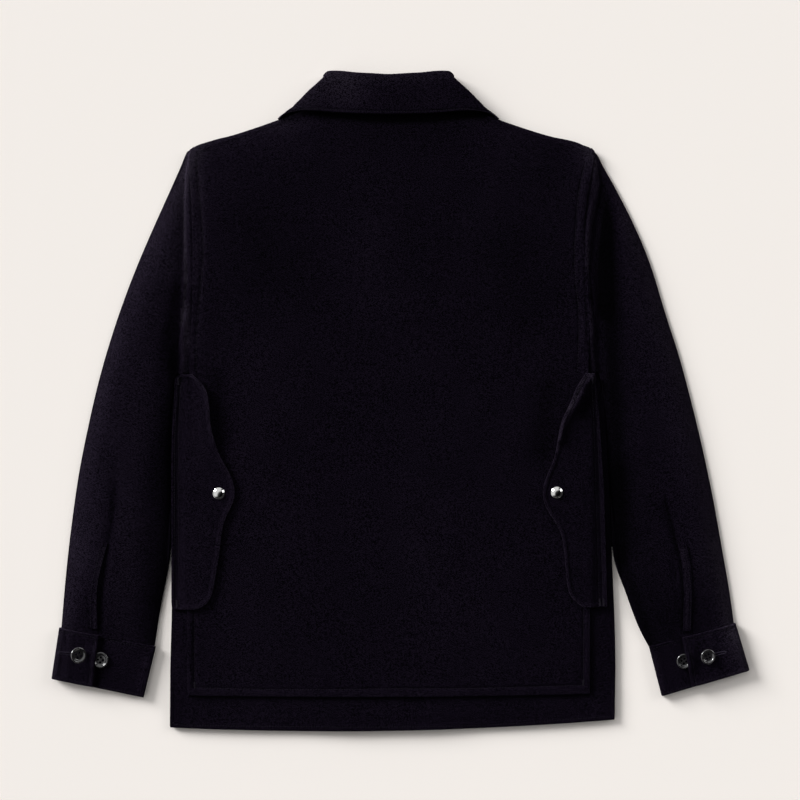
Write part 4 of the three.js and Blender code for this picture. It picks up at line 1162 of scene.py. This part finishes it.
# %% Cuffs and plackets
LAPS = {
    "left": {"line": [(-364, -277), (-366.6, -309), (-370.9, -340)], "reach": 3.0},
    "right": {"line": [(337, -279), (343.7, -298), (346.1, -322), (351.5, -341)], "reach": -2.6},
}
LAP_WIDTH = 9.0
LAP_PLY = {"low": 8.0, "high": 10.5}  # heights, between the under ply and the lap
CUFF_RIM = 0.9 * MM
PLACKET_RIM = 0.6 * MM
cuff_cloths = {}
placket_cloths = {}
for side in SIDES:
    node = "cuff_" + side
    mesh = smooth_shell(node, 2, CUFF_RIM)
    rims = rim_tree(mesh)
    refine(mesh, cuff_lines[side], 4, 1.5)
    places = read_points(mesh)
    up = facing_up(mesh)
    turned_edge(places, up, rims, 0.7, 5.0)
    lap = LAPS[side]
    beside = near(places[:, :2], smooth_line(lap["line"], 4))[0]
    on_lap = soft(places[:, 2], LAP_PLY["low"], LAP_PLY["high"])
    places[:, 0] += lap["reach"] * np.exp(-((beside / LAP_WIDTH) ** 2)) * on_lap
    for row in cuff_lines[side]:
        press_seam(places, up, row, depth=0.5, width=1.2)
    write_points(mesh, places)
    write_painted_shading(mesh, rims, 0.4, CUFF_PAINTED_SHADOW[side])
    cuff_cloths[side] = put(node + "_wool", mesh, wool, [node])
    node = "sleeve_placket_" + side
    mesh = smooth_shell(node, 3, PLACKET_RIM)
    places = read_points(mesh)
    places[:, 2] += sleeve_lift(places, side)
    write_points(mesh, places)
    write_painted_shading(mesh, own=PLACKET_PAINTED_HIGHLIGHT[side])
    placket_cloths[side] = put(node + "_wool", mesh, wool, [node])
print("cuffs:", [len(piece.data.polygons) for piece in cuff_cloths.values()])

# %% [markdown]
# ## The collar
#
# The collar stands, rolls over and falls back down over the neck seam, and its free edge is
# topstitched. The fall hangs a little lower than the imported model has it, and its two
# points are blunt, because cloth that is turned at a point never fills it.

# %% Collar
FALL_DROP = 1.6
FALL_PLY = {"low": 11, "high": 15}  # heights that lie in the fall
FALL_ROOT = {"low": 352, "high": 374}  # how far up the fall it hangs lower
COLLAR_TOP = 14
COLLAR_RIM = 1.2 * MM
COLLAR_TIPS = [
    {"at": (-142.5, 342.5), "move": (-2.2, -3.4), "reach": 11},
    {"at": (114.0, 342.5), "move": (1.8, -3.4), "reach": 11},
]
collar_mesh = smooth_shell("collar", 3, COLLAR_RIM)
places = read_points(collar_mesh)
in_fall = soft(places[:, 2], FALL_PLY["low"], FALL_PLY["high"])
places[:, 1] -= FALL_DROP * in_fall * (1 - soft(places[:, 1], FALL_ROOT["low"], FALL_ROOT["high"]))
nudge(places, COLLAR_TIPS)
write_points(collar_mesh, places)
refine(collar_mesh, [collar_line], 5, 1.6)
places = read_points(collar_mesh)
up = facing_up(collar_mesh) * (places[:, 2] > COLLAR_TOP)
press_seam(places, up, collar_line, depth=0.6, width=1.5, ridge=0.3, ridge_side=-1)
write_points(collar_mesh, places)
write_painted_shading(collar_mesh)
collar_cloth = put("collar_wool", collar_mesh, wool, ["collar"])
print("collar:", len(collar_mesh.polygons))

# %% [markdown]
# ## Stitches by Geometry Nodes
#
# A stitch row is one small shape repeated along a line, which is what Geometry Nodes are
# for. The tree turns a line into a curve, puts a point at every stitch, and sets a flattened
# bead of thread on it, turned along the row or across it. The row's pitch, the stitch's
# length and thickness and its turn are inputs.


# %% Stitch tree
BEAD_SEGMENTS = 6
BEAD_RINGS = 5
SMALLEST_BEAD = (0.88, 0.85, 0.85)
LARGEST_BEAD = (1.1, 1.15, 1.15)


def stitch_tree():
    tree = bpy.data.node_groups.new("stitch_row", "GeometryNodeTree")
    face = tree.interface
    face.new_socket("Geometry", in_out="INPUT", socket_type="NodeSocketGeometry")
    for name, value in (("Pitch", 3.0 * MM), ("Length", 2.3 * MM), ("Thickness", 0.6 * MM), ("Turn", 0.0)):
        socket = face.new_socket(name, in_out="INPUT", socket_type="NodeSocketFloat")
        socket.default_value = value
    face.new_socket("Seed", in_out="INPUT", socket_type="NodeSocketInt")
    face.new_socket("Material", in_out="INPUT", socket_type="NodeSocketMaterial")
    face.new_socket("Geometry", in_out="OUTPUT", socket_type="NodeSocketGeometry")

    def add(kind, **settings):
        made = tree.nodes.new(kind)
        for key, value in settings.items():
            setattr(made, key, value)
        return made

    def link(a, a_name, b, b_name):
        tree.links.new(a.outputs[a_name], b.inputs[b_name])

    given = add("NodeGroupInput")
    result = add("NodeGroupOutput")
    curve = add("GeometryNodeMeshToCurve")
    steps = add("GeometryNodeResampleCurve", mode="LENGTH")
    tangent = add("GeometryNodeInputTangent")
    align = add("FunctionNodeAlignEulerToVector", axis="X")
    turn_by = add("ShaderNodeCombineXYZ")
    turned = add("FunctionNodeRotateEuler", rotation_type="EULER", space="LOCAL")
    bead = add("GeometryNodeMeshUVSphere")
    size = add("ShaderNodeCombineXYZ")
    sized = add("GeometryNodeTransform")
    wobble = add("FunctionNodeRandomValue", data_type="FLOAT_VECTOR")
    spread = add("GeometryNodeInstanceOnPoints")
    real = add("GeometryNodeRealizeInstances")
    finish = add("GeometryNodeSetMaterial")
    smooth = add("GeometryNodeSetShadeSmooth")
    bead.inputs["Segments"].default_value = BEAD_SEGMENTS
    bead.inputs["Rings"].default_value = BEAD_RINGS
    bead.inputs["Radius"].default_value = 0.5
    wobble.inputs[0].default_value = SMALLEST_BEAD
    wobble.inputs[1].default_value = LARGEST_BEAD
    link(given, "Geometry", curve, "Mesh")
    link(curve, "Curve", steps, "Curve")
    link(given, "Pitch", steps, "Length")
    link(tangent, "Tangent", align, "Vector")
    link(given, "Turn", turn_by, "Z")
    link(align, "Rotation", turned, "Rotation")
    link(turn_by, "Vector", turned, "Rotate By")
    link(given, "Length", size, "X")
    link(given, "Thickness", size, "Y")
    link(given, "Thickness", size, "Z")
    link(bead, "Mesh", sized, "Geometry")
    link(size, "Vector", sized, "Scale")
    link(given, "Seed", wobble, "Seed")
    link(steps, "Curve", spread, "Points")
    link(sized, "Geometry", spread, "Instance")
    link(turned, "Rotation", spread, "Rotation")
    link(wobble, "Value", spread, "Scale")
    link(spread, "Instances", real, "Geometry")
    link(real, "Geometry", smooth, "Geometry")
    link(smooth, "Geometry", finish, "Geometry")
    link(given, "Material", finish, "Material")
    link(finish, "Geometry", result, "Geometry")
    return tree


stitch_row = stitch_tree()
sockets = [item for item in stitch_row.interface.items_tree if item.in_out == "INPUT"]
socket_ids = {item.name: item.identifier for item in sockets}
print("stitch tree inputs:", sorted(socket_ids))

# %% [markdown]
# ## Laying a row on the cloth
#
# The row's line is given in plan. Its height is found by dropping each of its points onto
# the finished cloth, so the thread lies in the groove wherever the cloth goes.


# %% Rows on cloth
ABOVE = 0.2  # metres, higher than any cloth here


def surface_of(piece):
    return BVHTree.FromObject(piece, bpy.context.evaluated_depsgraph_get())


def drop(surface, places, lift):
    """Points in metres where places in plan, in millimetres, meet a surface from above."""
    out = []
    for x, y in places:
        hit = surface.ray_cast(Vector((x * MM, y * MM, ABOVE)), Vector((0, 0, -1)))[0]
        if hit is not None:
            out.append(hit + Vector((0, 0, lift)))
    return out


def stitch(name, rows, size, turn=0.0, seed=1, cotton=thread):
    """A piece of thread: rows are lists of points in metres, and size is a stitch's own."""
    corners, edges = [], []
    for row in rows:
        start = len(corners)
        corners += [tuple(point) for point in row]
        edges += [(start + i, start + i + 1) for i in range(len(row) - 1)]
    mesh = bpy.data.meshes.new(name)
    mesh.from_pydata(corners, edges, [])
    holder = bpy.data.objects.new(name + "_line", mesh)
    scene.collection.objects.link(holder)
    modifier = holder.modifiers.new("stitches", "NODES")
    modifier.node_group = stitch_row
    values = {**size, "Turn": turn, "Seed": seed, "Material": cotton}
    for key, value in values.items():
        modifier[socket_ids[key]] = value
    made = bpy.data.meshes.new_from_object(holder.evaluated_get(bpy.context.evaluated_depsgraph_get()))
    bpy.data.objects.remove(holder)
    made.name = name
    return put(name, made, cotton)


# %% Topstitching
TOPSTITCH = {"Pitch": 3.1 * MM, "Length": 2.3 * MM, "Thickness": 0.75 * MM}
TOPSTITCH_LIFT = 0.05 * MM


def topstitch(name, cloth, lines, seed):
    """Rows of topstitching that lie on one cloth, as one piece of thread."""
    surface = surface_of(cloth)
    rows = [drop(surface, line, TOPSTITCH_LIFT) for line in lines]
    return stitch("topstitch_" + name, rows, TOPSTITCH, seed=seed)


stitched = [
    topstitch("panel", panel_cloth, panel_lines, 3),
    topstitch("hem", back_cloth, [hem_line], 4),
    topstitch("collar", collar_cloth, [collar_line], 5),
]
for side in SIDES:
    stitched.append(topstitch("flap_" + side, flap_cloths[side], flap_lines[side], 6))
    stitched.append(topstitch("cuff_" + side, cuff_cloths[side], cuff_lines[side], 7))
    stitched.append(topstitch("placket_" + side, placket_cloths[side], [placket_lines[side]], 8))
print("stitch rows:", [len(piece.data.polygons) for piece in stitched])

# %% [markdown]
# ## Bartacks and buttonholes
#
# Where a seam ends under strain it is locked with a bartack, a few stitches close together
# across the row. A buttonhole is the same thing all round a slit. Both are the stitch tree
# again, with a small pitch and the stitches turned across the line.

# %% Bartacks and buttonholes
BARTACK = {"Pitch": 0.75 * MM, "Length": 3.4 * MM, "Thickness": 0.8 * MM}
BARTACK_LIFT = 0.2 * MM
HOLE_STITCH = {"Pitch": 0.7 * MM, "Length": 1.7 * MM, "Thickness": 0.7 * MM}
HOLE_LIFT = 0.1 * MM
ACROSS = math.pi / 2
BARTACKS = {
    "pocket_flap_left": [[(-266.0, 27.0), (-266.0, 19.0)], [(-268.0, -240.0), (-268.0, -248.0)]],
    "pocket_flap_right": [
        [(230.4, 27.5), (230.4, 20.0)],
        [(238.6, -238.0), (239.2, -246.0)],
        [(243.2, -238.0), (243.6, -246.0)],
    ],
    "back_pocket_panel": [[(-246.8, -338.0), (-246.8, -345.0)], [(219.4, -335.0), (219.4, -342.0)]],
}
BUTTONHOLES = {
    "left": {"start": (-409.4, -302.2), "end": (-391.5, -303.4), "half": 1.1},
    "right": {"start": (389.4, -301.6), "end": (373.5, -305.0), "half": 1.1},
}


def slit_loop(hole):
    """The line round a buttonhole, from its own start and end."""
    start, end = np.array(hole["start"]), np.array(hole["end"])
    way = (end - start) / np.linalg.norm(end - start)
    off = np.array([-way[1], way[0]]) * hole["half"]
    corners = [start + off, end + off, end - off, start - off, start + off]
    return smooth_line(corners, 1.0)


for node, tacks in BARTACKS.items():
    surface = surface_of(bpy.data.objects[node + "_wool"])
    rows = [drop(surface, smooth_line(tack, 1.0), BARTACK_LIFT) for tack in tacks]
    stitched.append(stitch("bartack_" + node, rows, BARTACK, ACROSS, seed=9))
for side, hole in BUTTONHOLES.items():
    surface = surface_of(cuff_cloths[side])
    row = drop(surface, slit_loop(hole), HOLE_LIFT)
    stitched.append(stitch("buttonhole_" + side, [row], HOLE_STITCH, ACROSS, seed=10, cotton=painted_light_hole_thread))
print("thread pieces:", len(stitched))

# %% [markdown]
# ## Buttons
#
# A four hole button is turned on a lathe and drilled, so it is made that way: a profile
# spun round, and four rods taken out. The one in use sits askew in its hole, the spare one
# lies flat and partly under the lap.

# %% Buttons
BUTTON_PROFILE = [
    (0, 0), (5.6, 0), (7.6, 0.35), (8.5, 1.1), (8.7, 1.8), (8.5, 2.5), (8.0, 2.95),
    (7.3, 3.05), (6.6, 2.75), (6.0, 2.1), (5.5, 1.55), (4.7, 1.3), (3.0, 1.35), (0, 1.45),
]
HOLE_SPREAD = 1.9
HOLE_RADIUS = 1.3
ROD = {"segments": 20, "depth": 9}
ROD_MIDDLE = 1.5
LATHE_SIDES = 64


def spin(profile, sides):
    """A closed mesh in millimetres from a profile of (radius, height) rows."""
    turned = bmesh.new()
    last = len(profile) - 1
    rings = []
    for i, (radius, height) in enumerate(profile):
        if i in (0, last):
            rings.append([turned.verts.new((0, 0, height))])
            continue
        angles = [2 * math.pi * k / sides for k in range(sides)]
        ring = [(radius * math.cos(a), radius * math.sin(a), height) for a in angles]
        rings.append([turned.verts.new(corner) for corner in ring])
    for low, high in zip(rings, rings[1:]):
        for k in range(sides):
            n = (k + 1) % sides
            corners = [low[k % len(low)], low[n % len(low)], high[n % len(high)], high[k % len(high)]]
            turned.faces.new(list(dict.fromkeys(corners)))
    bmesh.ops.recalc_face_normals(turned, faces=turned.faces)
    mesh = bpy.data.meshes.new("turned")
    turned.to_mesh(mesh)
    turned.free()
    return mesh


def drilled_button():
    rods = bmesh.new()
    for x in (-HOLE_SPREAD, HOLE_SPREAD):
        for y in (-HOLE_SPREAD, HOLE_SPREAD):
            place = Matrix.Translation((x, y, ROD_MIDDLE))
            bmesh.ops.create_cone(
                rods, cap_ends=True, radius1=HOLE_RADIUS, radius2=HOLE_RADIUS, matrix=place, **ROD
            )
    rod_mesh = bpy.data.meshes.new("rods")
    rods.to_mesh(rod_mesh)
    rods.free()
    cutter = bpy.data.objects.new("rods", rod_mesh)
    scene.collection.objects.link(cutter)
    drill = ("BOOLEAN", {"operation": "DIFFERENCE", "object": cutter})
    made = plain(spin(BUTTON_PROFILE, LATHE_SIDES), [drill])
    bpy.data.objects.remove(cutter)
    return made


def placed(mesh, name, matrix):
    """A copy of a mesh in millimetres, brought to its place in metres."""
    made = mesh.copy()
    made.name = name
    made.transform(matrix @ Matrix.Diagonal((MM, MM, MM, 1)))
    return made


def box_middle(node):
    low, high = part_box(node)
    return (low + high) / 2


BUTTON_SET = {
    "left": {"tilt": 28, "size": 1.12, "rise": 2.2},
    "right": {"tilt": 9, "size": 1.05, "rise": -0.6},
}
SINK = 1.5  # of a button that lies flat
FIRST_SPIN = 9  # degrees, so that the holes of a cuff's two buttons don't line up
NEXT_SPIN = 14
SHARP = math.radians(40)
button_mesh = drilled_button()
buttons = []
for side, held in BUTTON_SET.items():
    for number in (1, 2):
        node = "cuff_button_%s_%d" % (side, number)
        turn = Matrix.Rotation(math.radians(held["tilt"]), 4, "Y") if number == 1 else Matrix.Identity(4)
        rise = held["rise"] if number == 1 else -SINK
        size = Matrix.Diagonal((held["size"], held["size"], 1, 1))
        spun = Matrix.Rotation(math.radians(FIRST_SPIN + NEXT_SPIN * number), 4, "Z")
        raised = Matrix.Translation((0, 0, rise * MM))
        place = Matrix.Translation(box_middle(node)) @ turn @ spun @ raised @ size
        mesh = placed(button_mesh, node + "_polished", place)
        piece = put(node + "_polished", mesh, button_black, [node])
        piece.data.set_sharp_from_angle(angle=SHARP)
        buttons.append(piece)
print("buttons:", len(buttons), "faces each:", len(button_mesh.polygons))

# %% [markdown]
# ## Snaps
#
# A snap's cap is a disc of thin metal, rolled at its rim and domed in the middle. The shape
# is a profile spun round. It needs many sides, because metal shows every facet. The swell of
# the cloth under it raises it, so that it sits on its flap.

# %% Snaps
SNAP_PROFILE = [
    (0, 0), (6.7, 0), (7.1, 0.25), (7.15, 0.65), (6.95, 0.95), (6.6, 1.0),
    (6.25, 1.4), (5.6, 2.0), (4.6, 2.55), (3.2, 2.95), (1.6, 3.15), (0, 3.2),
]
snap_mesh = spin(SNAP_PROFILE, LATHE_SIDES)
snaps = []
for side in SIDES:
    node = "snap_" + side
    middle = box_middle(node)
    lift = float(swell(np.array([[middle.x / MM, middle.y / MM, 0]]))[0]) * MM
    place = Matrix.Translation((middle.x, middle.y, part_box(node)[0].z + lift))
    mesh = placed(snap_mesh, node + "_nickel", place)
    piece = put(node + "_nickel", mesh, nickel, [node])
    snaps.append(piece)
print("snaps:", len(snaps))

# %% [markdown]
# ## Sheets

# %% Sheets
print("no sheet sizes given")

# %% [markdown]
# ## The table
#
# The table is a pale, warm paper. It is much larger than the view, so that its own edges
# never show, and it lies a hair below the cloth, because two faces at one height flicker.

# %% Floor
FLOOR_HALF = 3.0
FLOOR_DROP = 0.3 * MM
PAPER = (0.86, 0.815, 0.775, 1)
floor_mesh = bpy.data.meshes.new("floor")
floor_corners = [(x * FLOOR_HALF, y * FLOOR_HALF, 0) for x, y in ((-1, -1), (1, -1), (1, 1), (-1, 1))]
floor_mesh.from_pydata(floor_corners, [], [(0, 1, 2, 3)])
floor_mesh.transform(Matrix.Translation((0, 0, -FLOOR_DROP)))
floor = bpy.data.objects.new("floor", floor_mesh)
scene.collection.objects.link(floor)
paper = Paint("paper")
paper.principled(Base_Color=PAPER, Roughness=0.9, Specular_IOR_Level=0.1)
floor_mesh.materials.append(paper.material)
print("table:", 2 * FLOOR_HALF, "metres wide")

# %% [markdown]
# ## The light
#
# The key is one large soft source, low at the upper left, which leaves short soft shadows at
# the right and below. A weak bounce from the right keeps the far sides of the folds from
# going black. Both could be area lights, but suns light the whole jacket evenly. The sky
# is bright behind the key and nearly dark elsewhere, with a dark patch almost overhead. The
# wool hardly shows that, but the snap caps mirror it, and it gives them their bright and
# dark sides.

# %% Lights
KEY = {"strength": 4.5, "spread": 26, "from": (-1.0, 0.72, 0.5)}
BOUNCE = {"strength": 0.7, "spread": 30, "from": (1.0, 0.5, 0.55)}


def add_sun(name, made):
    """A sun. Its spread is in degrees, and a wide one makes soft shadows."""
    data = bpy.data.lights.new(name, "SUN")
    data.energy = made["strength"]
    data.angle = math.radians(made["spread"])
    sun = bpy.data.objects.new(name, data)
    scene.collection.objects.link(sun)
    sun.rotation_euler = (-Vector(made["from"])).to_track_quat("-Z", "Y").to_euler()


add_sun("key", KEY)
add_sun("bounce", BOUNCE)
print("suns:", KEY["strength"], BOUNCE["strength"])

# %% Sky
BRIGHT_SKY = {"aim": (-0.75, 0.58, 0.32), "begin": 0.05, "end": 0.45, "low": 0.03, "high": 0.84}
DARK_PATCH = {"aim": (0.28, -0.25, 0.93), "begin": 0.8, "end": 0.94, "low": 1.0, "high": 0.06}

world = bpy.data.worlds.new("studio")
world.use_nodes = True
sky = world.node_tree
towards = sky.nodes.new("ShaderNodeTexCoord")


def sky_part(aim, begin, end, low, high):
    """A strength that goes from low to high as the sky turns towards a direction."""
    facing = sky.nodes.new("ShaderNodeVectorMath")
    facing.operation = "DOT_PRODUCT"
    facing.inputs[1].default_value = Vector(aim).normalized()
    shade = sky.nodes.new("ShaderNodeMapRange")
    shade.interpolation_type = "SMOOTHSTEP"
    for name, value in {"From Min": begin, "From Max": end, "To Min": low, "To Max": high}.items():
        shade.inputs[name].default_value = value
    sky.links.new(towards.outputs["Generated"], facing.inputs[0])
    sky.links.new(facing.outputs["Value"], shade.inputs["Value"])
    return shade.outputs["Result"]


both = sky.nodes.new("ShaderNodeMath")
both.operation = "MULTIPLY"
sky.links.new(sky_part(**BRIGHT_SKY), both.inputs[0])
sky.links.new(sky_part(**DARK_PATCH), both.inputs[1])
sky.links.new(both.outputs[0], sky.nodes["Background"].inputs["Strength"])
sky.nodes["Background"].inputs["Color"].default_value = (1, 1, 1, 1)
scene.world = world
scene.view_settings.view_transform = "Standard"
print("sky:", BRIGHT_SKY["low"], "to", BRIGHT_SKY["high"])
